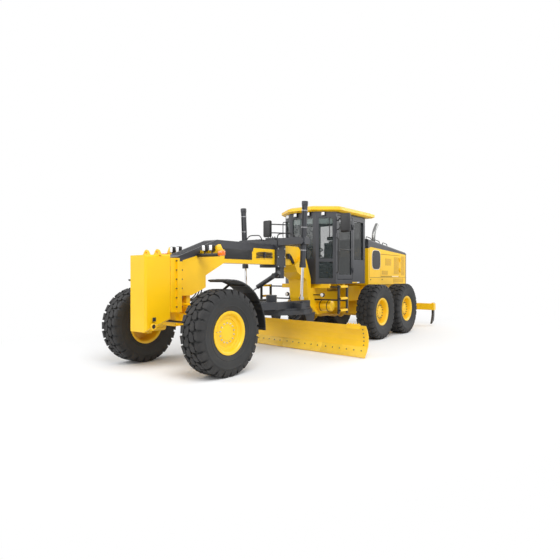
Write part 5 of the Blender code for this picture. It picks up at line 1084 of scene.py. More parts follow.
@dataclass
class CabDress:
    """Dress of the cab: panes, door trim, grab bars, wipers, mirrors, strips and lamps."""

    rear: float = -1.1555
    front: float = 0.2645
    nose: float = 0.5645
    half: float = 0.72
    nose_half: float = 0.36
    inset: float = 0.03
    glass: float = 0.008
    pane_half: float = 0.30
    clear_span: Pair = (1.49, 2.745)
    band_span: Pair = (2.747, 2.90)
    mirror_y: float = 1.10
    body: str = "front_frame"

    def panes(self) -> None:
        """Glaze the front, the angled sides, the rear sides and the back, the rear sides dark with
        painted shade.
        """
        clear, band, dark = Shape.new(), Shape.new(), Shape.new()
        head = self.band_span[1]
        wall = self.half - self.inset
        x = self.nose - self.inset
        for pane, (foot, top) in ((clear, self.clear_span), (band, self.band_span)):
            pane.block((x - self.glass / 2, -self.pane_half, foot),
                       (x + self.glass / 2, self.pane_half, top))
        for _, side in SIDES:
            start = Vector((self.front, side * self.half, 0))
            end = Vector((self.nose, side * self.nose_half, 0))
            run = end - start
            out = Vector((run.y, -run.x, 0)).normalized() * -side
            near, far = (start.lerp(end, share) - out * self.inset for share in (0.12, 0.88))
            for pane, (foot, top) in ((clear, self.clear_span), (band, self.band_span)):
                pane.prism([(near.x, near.y, foot), (far.x, far.y, foot), (far.x, far.y, top),
                            (near.x, near.y, top)], out * self.glass)
            # Rear side panes of dark glass: painted shade of the cab's interior behind them.
            dark.panel(side, (self.rear + 0.06, wall - self.glass, 1.93), (-0.52, wall, head))
        clear.block((self.rear + 0.026, -0.60, 2.03), (self.rear + 0.034, 0.60, head))
        clear.build("cab_panes", self.body, Slot.CHARCOAL, WINDOW)
        dark.build("cab_side_panes", self.body, Slot.CHARCOAL, SHADED_INTERIOR_GLASS)
        band.build("cab_sun_band", self.body, Slot.CHARCOAL, SUN_BAND)

    def doors(self) -> None:
        """Glaze the doors dark with painted interior shade and give each its rail, latch and
        handle.
        """
        for hand, side in SIDES:
            door = f"cab_door_{hand}"
            low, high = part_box(door)
            pane = Shape.new().panel(side, (low.x + 0.045, 0.693, low.z + 0.08),
                                     (high.x - 0.045, 0.701, high.z - 0.045))
            pane.build(f"cab_door_pane_{hand}", door, Slot.CHARCOAL, SHADED_INTERIOR_GLASS)
            trim = Shape.new().panel(side, (low.x + 0.04, 0.704, 2.165),
                                     (high.x - 0.04, 0.716, 2.185),
                                     bevel=0.003)
            trim.panel(side, (high.x - 0.050, 0.719, 2.02), (high.x - 0.015, 0.728, 2.14),
                       bevel=0.004)
            handle = ((0.722, 2.035), (0.742, 2.05), (0.742, 2.11), (0.722, 2.125))
            trim.path(on_side(side, ((high.x - 0.032, y, z) for y, z in handle)), 0.006, 8,
                      bend=0.01)
            trim.build(f"cab_door_trim_{hand}", door, Slot.BLACK, BLACK)

    def grab_bars(self) -> None:
        """Bend the grab bars beside the doors and at the front corners."""
        shape = Shape.new()
        wall = self.half - 0.006
        beside = ((0.240, wall, 1.62), (0.240, wall + 0.055, 1.65), (0.240, wall + 0.055, 2.40),
                  (0.240, wall, 2.43))
        corner = ((0.36, 0.60, 2.86), (0.45, 0.66, 2.86), (0.45, 0.66, 2.45), (0.36, 0.60, 2.45))
        for _, side in SIDES:
            shape.path(on_side(side, beside), 0.011, bend=0.03)
            shape.path(on_side(side, corner), 0.010, bend=0.04)
        shape.build("grab_bars", self.body, Slot.BLACK, BLACK)

    def wipers(self) -> None:
        """Set the wiper on the front pane."""
        shape = Shape.new()
        x = self.nose + 0.010
        shape.rod((self.nose - 0.004, 0.05, 1.60), (x + 0.012, 0.05, 1.60), 0.018, 20, bevel=0.004)
        shape.path([(x, 0.05, 1.60), (x + 0.010, 0.09, 1.95), (x, 0.14, 2.22)], 0.006, 8, bend=0.1)
        shape.block((x - 0.012, 0.130, 1.98), (x - 0.002, 0.142, 2.50), bevel=0.002,
                    turn=Matrix.Rotation(math.radians(-8), 3, "X"))
        shape.build("wipers", self.body, Slot.BLACK, BLACK)

    def mirrors(self) -> None:
        """Round off the outside mirrors and give them their glass."""
        housings, glass = Shape.new(), Shape.new()
        y = self.mirror_y
        for _, side in SIDES:
            housings.panel(side, (0.458, y - 0.117, 2.513), (0.551, y + 0.117, 2.927), 0.038,
                           segments=5)
            glass.panel(side, (0.452, y - 0.080, 2.552), (0.460, y + 0.080, 2.888), bevel=0.0035)
        housings.build("mirror_housings", self.body, Slot.BLACK, BLACK)
        glass.build("mirror_glass", self.body, Slot.CHROME, MIRROR)

    def reflectors(self) -> None:
        """Stick the strips under the doors' sills."""
        near, far = self.half - 0.001, self.half + 0.004
        for name, start, end, slot, finish in (("sill_strips", -0.74, -0.50, Slot.YELLOW, YELLOW),
                                               ("sill_reflectors", -0.86, -0.745, Slot.CHROME,
                                                LENS)):
            shape = Shape.new()
            for _, side in SIDES:
                shape.panel(side, (start, near, 1.378), (end, far, 1.408), bevel=0.0015)
            shape.build(name, self.body, slot, finish)

    def roof_lamps(self) -> None:
        """Hang the work lamps under the roof's front and rear edges."""
        housings, lenses = Shape.new(), Shape.new()
        for y in (-0.50, -0.18, 0.18, 0.50):
            x = 0.585 if abs(y) < 0.3 else 0.45
            housings.block((x - 0.05, y - 0.05, 2.925), (x + 0.03, y + 0.05, 3.015), bevel=0.014)
            lenses.block((x + 0.026, y - 0.040, 2.933), (x + 0.036, y + 0.040, 3.007), bevel=0.008)
        for _, side in SIDES:
            housings.panel(side, (-1.27, 0.57, 2.92), (-1.19, 0.67, 3.01), bevel=0.014)
            lenses.panel(side, (-1.276, 0.58, 2.928), (-1.266, 0.66, 3.002), bevel=0.008)
        housings.build("roof_lamp_housings", self.body, Slot.BLACK, BLACK)
        lenses.build("roof_lamp_lenses", self.body, Slot.BLACK, LENS)

    def build(self) -> None:
        """Dress the cab."""
        self.panes()
        self.doors()
        self.grab_bars()
        self.wipers()
        self.mirrors()
        self.reflectors()
        self.roof_lamps()


@dataclass
class DriverSeat:
    """The sprung seat: simulated cushions on a pedestal, in place of the plain solid."""

    centre_x: float = -0.4755
    half: float = 0.235
    body: str = "front_frame"
    pressure: float = 4.0
    cap: float = 0.022
    voxel: float = 0.008
    frames: int = 20
    seam_depth: float = 0.012
    seam_width: float = 0.011
    lean: float = -5
    folds: int = 5
    fold_foot: float = 1.54
    fold_pitch: float = 0.05
    arm_y: float = 0.242

    def inflated(self, name: str, shape: Shape, seams: Sequence[tuple[int, float]],
                 replaces: Sequence[str] = ()) -> bpy.types.Object:
        """Swell a cushion under pressure and draw its sewn channels in.

        Args:
            name: The piece's name.
            shape: The cushion before it swells.
            seams: Axis index and place of each sewn channel.
            replaces: The CAD nodes that it stands for.

        Returns:
            The cushion.
        """
        pad = shape.build(name, self.body, Slot.SEAT, FABRIC, replaces=replaces, smooth=180)
        self.swollen(pad)
        corners = [vert.co for vert in pad.data.vertices]
        low, high = (Vector([pick(corner[axis] for corner in corners) for axis in range(3)])
                     for pick in (min, max))
        middle = (low + high) / 2
        for vert in pad.data.vertices:
            for axis, place in seams:
                off = (vert.co[axis] - place) / self.seam_width
                depth = self.seam_depth * math.exp(-off ** 2)
                inward = middle - vert.co
                inward[axis] = 0
                vert.co += inward.normalized() * depth
        pad.data.shade_smooth()
        pad.data.materials.clear()
        pad.data.materials.append(FABRIC.material())
        smooth = pad.modifiers.new("smooth", "SUBSURF")
        smooth.levels = smooth.render_levels = 1
        return pad

    def swollen(self, pad: bpy.types.Object) -> None:
        """Simulate a cushion under pressure, no further out than the cap.

        Args:
            pad: The cushion.
        """
        remesh = pad.modifiers.new("remesh", "REMESH")
        remesh.mode = "VOXEL"
        remesh.voxel_size = self.voxel
        self.baked(pad, remesh)
        rest = [vert.co.copy() for vert in pad.data.vertices]
        cloth = pad.modifiers.new("cloth", "CLOTH")
        cloth.settings.use_pressure = True
        cloth.settings.uniform_pressure_force = self.pressure
        cloth.settings.effector_weights.gravity = 0
        cloth.point_cache.frame_end = self.frames
        for frame in range(1, self.frames + 1):
            bpy.context.scene.frame_set(frame)
        self.baked(pad, cloth)
        bpy.context.scene.frame_set(1)
        for vert, start in zip(pad.data.vertices, rest):
            moved = vert.co - start
            if moved.length > self.cap:
                vert.co = start + moved.normalized() * self.cap

    def baked(self, pad: bpy.types.Object, modifier: bpy.types.Modifier) -> None:
        """Apply a modifier to a cushion.

        Args:
            pad: The cushion.
            modifier: Its only modifier.
        """
        graph = bpy.context.evaluated_depsgraph_get()
        mesh = bpy.data.meshes.new_from_object(pad.evaluated_get(graph))
        pad.modifiers.remove(modifier)
        pad.data = mesh

    def cushions(self) -> None:
        """Swell the cushion, the back and the headrest."""
        x, edge = self.centre_x, self.half - 0.015
        lean = Matrix.Rotation(math.radians(self.lean), 3, "Y")
        for name, low, high, bevel, turn, seams, replaces in (
                ("seat_cushion", (x - 0.205, -edge, 1.862), (x + 0.225, edge, 1.945), 0.030, None,
                 ((0, x - 0.09), (1, -0.13), (1, 0.13)), ("seat",)),
                ("seat_back", (x - 0.262, -edge, 1.965), (x - 0.185, edge, 2.420), 0.030, lean,
                 ((2, 2.10), (2, 2.28), (1, -0.14), (1, 0.14)), ()),
                ("seat_headrest", (x - 0.275, -0.120, 2.460), (x - 0.205, 0.120, 2.555), 0.026,
                 lean,
                 (), ())):
            shape = Shape.new().block(low, high, bevel, turn, segments=3)
            self.inflated(name, shape, seams, replaces)

    def pedestal(self) -> None:
        """Build the base, the bellows, the pan, the arm rests and the headrest's posts."""
        x, frame = self.centre_x, Shape.new()
        frame.block((x - 0.18, -0.16, 1.452), (x + 0.18, 0.16, 1.50), bevel=0.012)
        frame.block((x - 0.14, -0.13, 1.50), (x + 0.14, 0.13, 1.80), bevel=0.03)
        for index in range(self.folds):
            z = self.fold_foot + index * self.fold_pitch
            frame.block((x - 0.155, -0.145, z), (x + 0.155, 0.145, z + 0.022), bevel=0.010)
        pan = self.half - 0.03
        frame.block((x - 0.22, -pan, 1.80), (x + 0.20, pan, 1.848), bevel=0.015)
        for _, side in SIDES:
            y = self.arm_y
            frame.panel(side, (x - 0.13, y - 0.026, 2.060), (x + 0.16, y + 0.026, 2.100), 0.016, 3)
            frame.path(on_side(side, ((x - 0.19, y, 1.88), (x - 0.19, y, 2.06),
                                      (x - 0.09, y, 2.075))),
                       0.012, bend=0.04)
        for y in (-0.06, 0.06):
            frame.rod((x - 0.226, y, 2.40), (x - 0.236, y, 2.48), 0.007, 10)
        frame.build("seat_frame", self.body, Slot.BLACK, BLACK)

    def build(self) -> None:
        """Build the seat."""
        self.cushions()
        self.pedestal()


@dataclass
class BladeDress:
    """Dress of the blade: bolted cutting edges, end studs and the tool block."""

    along: Vector = Vector((0.1043, 0.9945, 0.0))
    half: float = 2.125
    pitch: float = 0.17
    plate_count: int = 4
    plate: float = 0.005
    plate_heights: Places = (0.022, 0.05, 0.08, 0.11, 0.14, 0.17, 0.196)
    plate_gap: float = 0.003
    bolts_per_plate: int = 6
    bolt_height: float = 0.128
    stud_heights: Places = (0.235, 0.31, 0.385, 0.46, 0.535)
    tool_y: float = 1.84
    tool_z: float = 0.609
    tool_studs: int = 5
    body: str = "blade"

    def __post_init__(self) -> None:
        """Read the blade's face from its node."""
        mesh = bpy.data.objects[self.body].data
        self.tree = BVHTree.FromPolygons([vert.co for vert in mesh.vertices],
                                         [face.vertices[:] for face in mesh.polygons])

    def face(self, y: float, z: float) -> tuple[Vector, Vector]:
        """Return the point and the normal of the blade's face at a place across the machine.

        Args:
            y: Place across the machine.
            z: Height.

        Returns:
            The point and the outward normal.
        """
        point, normal, _, _ = self.tree.ray_cast(Vector((4, y, z)), -X_AXIS)
        return point, (normal if normal.x > 0 else -normal)

    def edges(self) -> None:
        """Lay the cutting edge plates along the foot of the blade."""
        section = [self.face(0, z) for z in self.plate_heights]
        outline = [point + normal * self.plate for point, normal in section]
        outline += [point - normal * 0.001 for point, normal in reversed(section)]
        length = 2 * self.half / self.plate_count
        shape = Shape.new()
        for index in range(self.plate_count):
            start = -self.half + index * length + self.plate_gap / 2
            shape.prism([point + self.along * start for point in outline],
                        self.along * (length - self.plate_gap),
                        bevel=0.001)
        shape.build("cutting_edges", self.body, Slot.YELLOW, EDGE_PAINT)

    def bolts(self) -> None:
        """Set the edge's bolts in pairs and a column of studs at each end."""
        shape = Shape.new()
        places = []
        for plate in range(self.plate_count):
            start = -self.half + plate * 2 * self.half / self.plate_count
            places += [(start + 0.11 + index * self.pitch, self.bolt_height, self.plate)
                       for index in range(self.bolts_per_plate)]
        for end in (-1, 1):
            places += [(end * (self.half - 0.075), z, 0.0) for z in self.stud_heights]
        for along, z, lift in places:
            point, normal = self.face(along * self.along.y, z)
            shape.rod(point + normal * (lift - 0.001), point + normal * (lift + 0.008), 0.0135, 6,
                      bevel=0.002)
        shape.build("edge_bolts", self.body, Slot.STEEL, DARK)

    def tool_block(self) -> None:
        """Seat the spare-bit block with its five studs on the blade's top."""
        block, studs = Shape.new(), Shape.new()
        turn = Matrix.Rotation(-math.atan2(self.along.x, self.along.y), 3, "Z")
        point, _ = self.face(self.tool_y, 0.60)
        centre = Vector((point.x - 0.022, self.tool_y, self.tool_z))
        block.block(centre - Vector((0.020, 0.150, 0.075)), centre + Vector((0.020, 0.150, 0.020)),
                    bevel=0.006, turn=turn)
        for index in range(self.tool_studs):
            step = index - (self.tool_studs - 1) // 2
            place = centre + self.along * step * 0.060 + Z_AXIS * 0.018
            studs.rod(place, place + Z_AXIS * 0.013, 0.013, 6, bevel=0.002)
            studs.rod(place, place + Z_AXIS * 0.021, 0.007, 10, bevel=0.001)
        block.build("tool_block", self.body, Slot.YELLOW, YELLOW)
        studs.build("tool_studs", self.body, Slot.YELLOW, YELLOW)

    def build(self) -> None:
        """Dress the blade."""
        self.edges()
        self.bolts()
        self.tool_block()


@dataclass
class LiftCylinders:
    """Dress of the lift cylinders: glands, caps, clamps and their hard lines."""

    x: float = 1.6845
    eye: Pair = (0.75, 1.10)
    trunnion: Pair = (0.80, 2.26)
    radius: float = 0.058
    ring_spans: tuple[Triple, ...] = ((1.722, 1.80, 0.010), (1.81, 1.83, 0.005),
                                                          (2.985, 3.055, 0.007),
                                                          (2.96, 2.975, 0.004))
    clamp_places: Places = (2.06, 2.52, 2.86)
    clamp_height: float = 0.022

    def at(self, side: int, z: float) -> Vector:
        """Return the point of a cylinder's axis at a height."""
        share = (z - self.eye[1]) / (self.trunnion[1] - self.eye[1])
        return Vector((self.x, side * (self.eye[0] + share * (self.trunnion[0] - self.eye[0])), z))

    def ring(self, shape: Shape, side: int, low: float, high: float, proud: float) -> None:
        """Add a ring round a cylinder's tube.

        Args:
            shape: The shape that it joins.
            side: Side of the machine.
            low: Height of its lower face.
            high: Height of its upper face.
            proud: How far it stands off the tube.
        """
        start, end = self.at(side, low), self.at(side, high)
        inner, outer, length = self.radius - 0.003, self.radius + proud, (end - start).length
        edge = min(0.003, proud / 2)
        shape.spun(((inner, 0), (outer - edge, 0), (outer, edge), (outer, length - edge),
                    (outer - edge, length), (inner, length)), start, end - start, 48, closed=True)

    def build(self) -> None:
        """Dress both cylinders."""
        for hand, side in SIDES:
            tube = f"lift_tube_{hand}"
            rings, lines, steel = Shape.new(), Shape.new(), Shape.new()
            for low, high, proud in self.ring_spans:
                self.ring(rings, side, low, high, proud)
            for z in self.clamp_places:
                self.ring(steel, side, z, z + self.clamp_height, 0.004)
            for z in self.clamp_places:
                centre = self.at(side, z + self.clamp_height / 2) + X_AXIS * 0.064
                size = Vector((0.016, 0.014, 0.012))
                steel.block(centre - size, centre + size, bevel=0.003)
            lines.path([self.at(side, z) + X_AXIS * out for z, out in (
                (1.80, 0.05), (1.86, 0.07), (2.10, 0.07), (2.50, 0.07), (2.92, 0.07),
                (3.00, 0.05))],
                0.009, bend=0.02)
            rings.build(f"lift_tube_rings_{hand}", tube, Slot.CHARCOAL, CHARCOAL)
            steel.build(f"lift_tube_clamps_{hand}", tube, Slot.STEEL, STEEL)
            lines.build(f"lift_tube_lines_{hand}", tube, Slot.CHARCOAL, HOSE)


@dataclass
class SaddleDress:
    """Dress of the saddle: cap bolts, a valve and its hoses."""

    x: float = 1.6845
    valve_half: float = 0.13
    hose: tuple[Triple, ...] = ((0.10, 0.20, 2.30), (0.13, 0.24, 2.42),
                                                    (0.13, 0.55, 2.43), (0.08, 0.68, 2.33))
    body: str = "front_frame"

    def build(self) -> None:
        """Dress the saddle."""
        bolts, hoses, valve = Shape.new(), Shape.new(), Shape.new()
        for _, side in SIDES:
            for x in (self.x - 0.115, self.x + 0.115):
                for y in (0.27, 0.36):
                    bolts.rod((x, side * y, 2.334), (x, side * y, 2.350), 0.014, 6, bevel=0.002)
            for z in (1.75, 1.95, 2.12):
                for x in (self.x - 0.11, self.x + 0.11):
                    bolts.pin(side, (x, z), 0.229, 0.245, 0.014, 6, bevel=0.002)
            hoses.path(on_side(side, ((self.x + x, y, z) for x, y, z in self.hose)), 0.011,
                       bend=0.10)
        valve.block((self.x - 0.09, -self.valve_half, 2.299),
                    (self.x + 0.09, self.valve_half, 2.36),
                    bevel=0.008)
        for y in (-0.09, -0.03, 0.03, 0.09):
            valve.rod((self.x + 0.04, y, 2.355), (self.x + 0.04, y, 2.385), 0.012, 6, bevel=0.002)
        bolts.build("saddle_bolts", self.body, Slot.STEEL, STUD)
        hoses.build("saddle_hoses", self.body, Slot.BLACK, HOSE)
        valve.build("saddle_valve", self.body, Slot.CHARCOAL, DARK)


@dataclass
class CircleDress:
    """The circle's inner teeth."""

    centre: Triple = (1.5245, 0.0, 0.78)
    inner: float = 0.64
    count: int = 72

    def build(self) -> None:
        """Set the teeth round the inside of the circle."""
        x, y, z = self.centre
        shape = Shape.new().block((x - self.inner - 0.004, y - 0.011, z - 0.012),
                                  (x - self.inner + 0.028, y + 0.011, z + 0.058), bevel=0.004,
                                  segments=1)
        shape.around(self.centre, Z_AXIS, self.count)
        shape.build("circle_teeth", "circle", Slot.STEEL, STEEL)


@dataclass
class HoodDress:
    """Dress of the hood: blank badge, louvres, seams, rails, exhaust, tail lamps and vent."""

    side: float = 0.632
    panel_half: float = 0.5995
    front: float = -1.5855
    front_top: float = 2.53
    rear: float = -4.1355
    rear_top: float = 2.27
    badge_centre: Pair = (-2.045, 1.99)
    badge_half: Pair = (0.245, 0.25)
    slat_pitch: float = 0.017
    slat: Pair = (0.002, 0.010)
    hood_patches: tuple[tuple[float, float, float, float], ...] = ((-3.98, 1.57, -3.70, 2.14),
                                                                   (-3.89, 1.36, -3.16, 1.49))
    door_patches: tuple[tuple[float, float, float, float], ...] = (
        (-3.56, 1.60, -3.20, 2.10), (-3.03, 1.85, -2.62, 2.05), (-2.80, 1.59, -2.40, 1.70))
    rail_places: Places = (-1.66, -2.16, -2.66)
    rail: tuple[Pair, ...] = ((0.0, -0.01), (-0.02, 0.075), (-0.30, 0.075), (-0.32, -0.01))
    pipe_radius: float = 0.052
    vent: tuple[int, float, float] = (12, -3.30, 0.05)
    body: str = "rear_frame"

    def top(self, x: float) -> float:
        """Return the height of the hood's top over a place along it."""
        share = (self.front - x) / (self.front - self.rear)
        return self.front_top + (self.rear_top - self.front_top) * share

    def badge(self) -> None:
        """Set the blank rounded badge and its border on each side."""
        for name, grow, lift, slot, finish in (("badge_border_blank", 0.012, 0.0035, Slot.CHROME,
                                                BADGE_EDGE),
                                               ("badge_blank", 0.0, 0.005, Slot.BLACK, BLACK)):
            shape = Shape.new()
            for _, side in SIDES:
                verts = bmesh.ops.create_circle(shape.mesh, cap_ends=True, segments=48,
                                                radius=1.0)["verts"]
                for vert in verts:
                    x, z, _ = vert.co
                    power = (abs(x) ** 4 + abs(z) ** 4) ** 0.25
                    vert.co = (self.badge_centre[0] + x / power * (self.badge_half[0] + grow),
                               side * (self.side - 0.033),
                               self.badge_centre[1] + z / power * (self.badge_half[1] + grow))
                shape.raised(verts[0].link_faces[0], (0, side * (lift + 0.003), 0))
            shape.build(name, self.body, slot, finish)

    def louvres(self, name: str, body: str, patches: Iterable[tuple[float, float, float, float]],
                sides: Iterable[int]) -> None:
        """Press louvred patches into panels, their back plates darker with painted shade behind the
        slats.

        Args:
            name: The pieces' name, with a gap for the back plates, in painted shade, and for the
                slats.
            body: The body that they ride on.
            patches: Lowest X and Z and highest X and Z of each patch.
            sides: The sides of the machine that have them.
        """
        backs, slats = Shape.new(), Shape.new()
        near = self.panel_half - 0.001
        for side in sides:
            for back, low, front, high in patches:
                # Back plate in the darker paint: painted shade behind the slats.
                backs.panel(side, (back, near, low), (front, self.panel_half + 0.0015, high))
                rise = 0.0
                while low + rise + self.slat[1] < high:
                    slats.panel(side, (back + 0.004, near, low + rise + self.slat[0]),
                                (front - 0.004, self.panel_half + 0.004, low + rise + self.slat[1]))
                    rise += self.slat_pitch
        backs.build(name.format("backs"), body, Slot.YELLOW, LOUVRE_SHADE_PAINT)
        slats.build(name.format("slats"), body, Slot.YELLOW, YELLOW)

    def seams(self) -> None:
        """Lay the dark seams of the panels and the latches."""
        shape = Shape.new()
        near, far, sill = 0.5985, 0.6012, 1.52
        for _, side in SIDES:
            shape.panel(side, (self.rear + 0.02, near, sill - 0.008), (-1.65, far, sill))
            shape.panel(side, (-1.656, near, sill), (-1.648, far, 2.28))
            for x in (-2.42, -1.72):
                latch = sorted((side * near, side * far))[0]
                shape.rod((x, latch, 1.46), (x, side * 0.606, 1.46), 0.020, 24, bevel=0.003)
        shape.build("hood_seams", self.body, Slot.BLACK, BLACK)

    def rails(self) -> None:
        """Bend the hand rails along the hood's top edges."""
        shape = Shape.new()
        for _, side in SIDES:
            for x in self.rail_places:
                shape.path([(x + along, side * 0.49,
                             self.top(x + (along if along < -0.1 else 0)) + rise)
                            for along, rise in self.rail], 0.011, bend=0.035)
        shape.build("hood_rails", self.body, Slot.BLACK, BLACK)

    def stack(self) -> None:
        """Bend the bright exhaust with its cut mouth, a black disc for soot and painted shade of
        the bore.
        """
        low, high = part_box("exhaust")
        x, y, foot = high.x - 0.088, (low.y + high.y) / 2, low.z + 0.02
        route = [Vector(point) for point in ((x, y, foot), (x, y, 2.66), (x - 0.05, y, 2.84),
                                             (x - 0.215, y, high.z - 0.06))]
        pipe = Shape.new().path(route, self.pipe_radius, 40, bend=0.11)
        pipe.rod((x, y, foot), (x, y, low.z + 0.10), 0.078, 40, bevel=0.008)
        pipe.build("exhaust_stack", self.body, Slot.CHROME, PIPE, replaces=("exhaust",))
        run = (route[-1] - route[-2]).normalized()
        # Black disc in the capped pipe's end: soot, and painted shade of the hollow bore.
        mouth = Shape.new().rod(route[-1] - run * 0.02, route[-1] + run * 0.002, 0.046, 40)
        mouth.build("exhaust_mouth", self.body, Slot.BLACK, BLACK)

    def tail(self) -> None:
        """Set the tail lamps and the rear latch."""
        housings, lenses, x = Shape.new(), Shape.new(), self.rear
        for _, side in SIDES:
            housings.panel(side, (x - 0.045, 0.445, 2.135), (x + 0.002, 0.555, 2.215), bevel=0.01)
            lenses.panel(side, (x - 0.051, 0.454, 2.143), (x - 0.043, 0.546, 2.207), bevel=0.004)
        housings.build("tail_lamp_housings", self.body, Slot.BLACK, BLACK)
        lenses.build("tail_lamp_lenses", self.body, Slot.BLACK, RED)
        latch = Shape.new().block((x - 0.018, 0.40, 1.72), (x + 0.004, 0.46, 1.82), bevel=0.005)
        latch.build("grille_latch", "rear_grille", Slot.BLACK, BLACK)

    def vents(self) -> None:
        """Lay the slatted vent over the hood's top."""
        shape = Shape.new()
        count, front, pitch = self.vent
        for index in range(count):
            x = front - index * pitch
            z = self.top(x)
            shape.block((x - 0.014, -0.34, z - 0.004), (x + 0.014, 0.34, z + 0.010), bevel=0.003,
                        segments=1)
        shape.build("hood_vent", self.body, Slot.BLACK, DARK)

    def build(self) -> None:
        """Dress the hood."""
        self.badge()
        self.louvres("hood_louvre_{}", self.body, self.hood_patches, (1, -1))
        for hand, side in SIDES:
            self.louvres("door_louvre_{}_" + hand, f"hood_door_{hand}", self.door_patches, (side,))
        self.seams()
        self.rails()
        self.stack()
        self.tail()
        self.vents()


@dataclass
class LadderDress:
    """Yellow treads of the ladders, with the work lamps and the tanks beside them."""

    x: float = 0.4045
    y: float = 1.08
    foot: float = 0.791
    pitch: float = 0.255
    lamp: Triple = (0.46, 0.50, 1.12)
    tank: Pair = (0.25, 0.86)
    tank_section: tuple[Pair, ...] = (
        (0.0, 0.245), (0.118, 0.245), (0.124, 0.255), (0.124, 0.585), (0.116, 0.608),
        (0.085, 0.624),
        (0.0, 0.632))
    body: str = "front_frame"

    def build(self) -> None:
        """Dress the ladders."""
        treads, lamps, lenses, tanks, straps = (Shape.new() for _ in range(5))
        x, y = self.x, self.y
        lamp_x, lamp_y, lamp_z = self.lamp
        for _, side in SIDES:
            for index in range(3):
                z = self.foot + index * self.pitch
                treads.panel(side, (x + 0.032, y - 0.044, z - 0.004),
                             (x + 0.328, y + 0.044, z + 0.040),
                             bevel=0.006)
                for notch in range(6):
                    middle = x + 0.06 + notch * 0.048
                    treads.panel(side, (middle - 0.006, y - 0.040, z + 0.038),
                                 (middle + 0.006, y + 0.040, z + 0.045), bevel=0.002, segments=1)
            for shape, start, end, radius, bevel in ((lamps, 0.0, 0.06, 0.050, 0.010),
                                                     (lenses, 0.058, 0.066, 0.040, 0.003)):
                shape.rod((lamp_x + start, side * lamp_y, lamp_z),
                          (lamp_x + end, side * lamp_y, lamp_z),
                          radius, 32, bevel=bevel)
            lamps.panel(side, (0.475, 0.249, 1.108), (0.495, 0.49, 1.132), bevel=0.004)
            tanks.spun(self.tank_section, (self.tank[0], 0, self.tank[1]), Y_AXIS * side, 48)
            for place in (0.33, 0.52):
                straps.pin(side, self.tank, place, place + 0.022, 0.1275, 48, bevel=0.002)
        treads.build("ladder_treads", self.body, Slot.YELLOW, YELLOW)
        lamps.build("work_lamps", self.body, Slot.BLACK, BLACK)
        lenses.build("work_lamp_lenses", self.body, Slot.CHROME, LENS)
        tanks.build("side_tanks", self.body, Slot.YELLOW, YELLOW)
        straps.build("tank_straps", self.body, Slot.BLACK, BLACK)


@dataclass
class FenderDress:
    """Rolled edges, pressed ribs, cross bars and bolts of a front fender."""

    hand: str
    side: int
    axle: Pair = (Row.FRONT.value, 0.674)
    radius: float = 0.82
    width: float = 0.40
    steps: int = 26
    rib_places: Places = (0.10, 0.20, 0.30)
    bar_angles: Places = (84.0, 114.0, 148.0, 180.0)
    bolt_angles: Places = (111.5, 116.5, 145.5, 150.5)

    def point(self, degrees: float, radius: float, y: float) -> Vector:
        """Return a point over the wheel.

        Args:
            degrees: Angle from the front, over the top.
            radius: Distance from the axle's line.
            y: Distance from the middle of the machine.

        Returns:
            The point.
        """
        turn = math.radians(degrees)
        return Vector((self.axle[0] + math.cos(turn) * radius, self.side * y,
                       self.axle[1] + math.sin(turn) * radius))

    def build(self) -> None:
        """Dress the fender."""
        low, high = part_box(f"fender_{self.hand}")
        outer = max(abs(low.y), abs(high.y))
        inner = outer - self.width
        edges, bolts = Shape.new(), Shape.new()
        bars = [(y, 82.6, 181.4, 0.012, 0.014) for y in (inner + 0.006, outer - 0.012)]
        bars += [(inner + place, 87.0, 177.0, 0.001, 0.007) for place in self.rib_places]
        for y, start, end, drop, thick in bars:
            edges.path([self.point(start + (end - start) * step / self.steps, self.radius - drop, y)
                        for step in range(self.steps + 1)], thick)
        for angle in self.bar_angles:
            edges.rod(self.point(angle, self.radius - 0.028, inner + 0.01),
                      self.point(angle, self.radius - 0.028, outer - 0.01), 0.011, 16, bevel=0.002)
        for angle in self.bolt_angles:
            for y in (inner + 0.05, inner + 0.15, inner + 0.25):
                bolts.rod(self.point(angle, self.radius - 0.002, y),
                          self.point(angle, self.radius + 0.008, y), 0.012, 6, bevel=0.002)
        edges.build(f"fender_edges_{self.hand}", f"knuckle_{self.hand}", Slot.BLACK, BLACK)
        bolts.build(f"fender_bolts_{self.hand}", f"knuckle_{self.hand}", Slot.STEEL, STEEL)


@dataclass
class RipperDress:
    """Pins of the ripper's links and shanks."""

    pin_places: Places = (-4.252, -4.752)
    link_heights: tuple[tuple[str, float], ...] = (("ripper_links", 0.60),
                                                   ("ripper_upper_links", 0.90))
    shank_places: Places = (-1.12, 0.0, 1.12)
    shank_height: float = 0.60

    def build(self) -> None:
        """Set the link pins and the shanks' pockets with their pins."""
        for body, height in self.link_heights:
            shape = Shape.new()
            for x in self.pin_places:
                for _, side in SIDES:
                    shape.pin(side, (x, height), 0.336, 0.384, 0.026, bevel=0.003)
            shape.build(f"{body}_pins", body, Slot.STEEL, STEEL)
        shape, z = Shape.new(), self.shank_height
        for y in self.shank_places:
            shape.block((-5.007, y - 0.075, z - 0.085), (-4.998, y + 0.075, z + 0.085), bevel=0.003)
            shape.rod((-5.022, y - 0.050, z), (-5.022, y + 0.050, z), 0.014, 20, bevel=0.003)
        shape.build("shank_pockets", "ripper_beam", Slot.YELLOW, YELLOW)


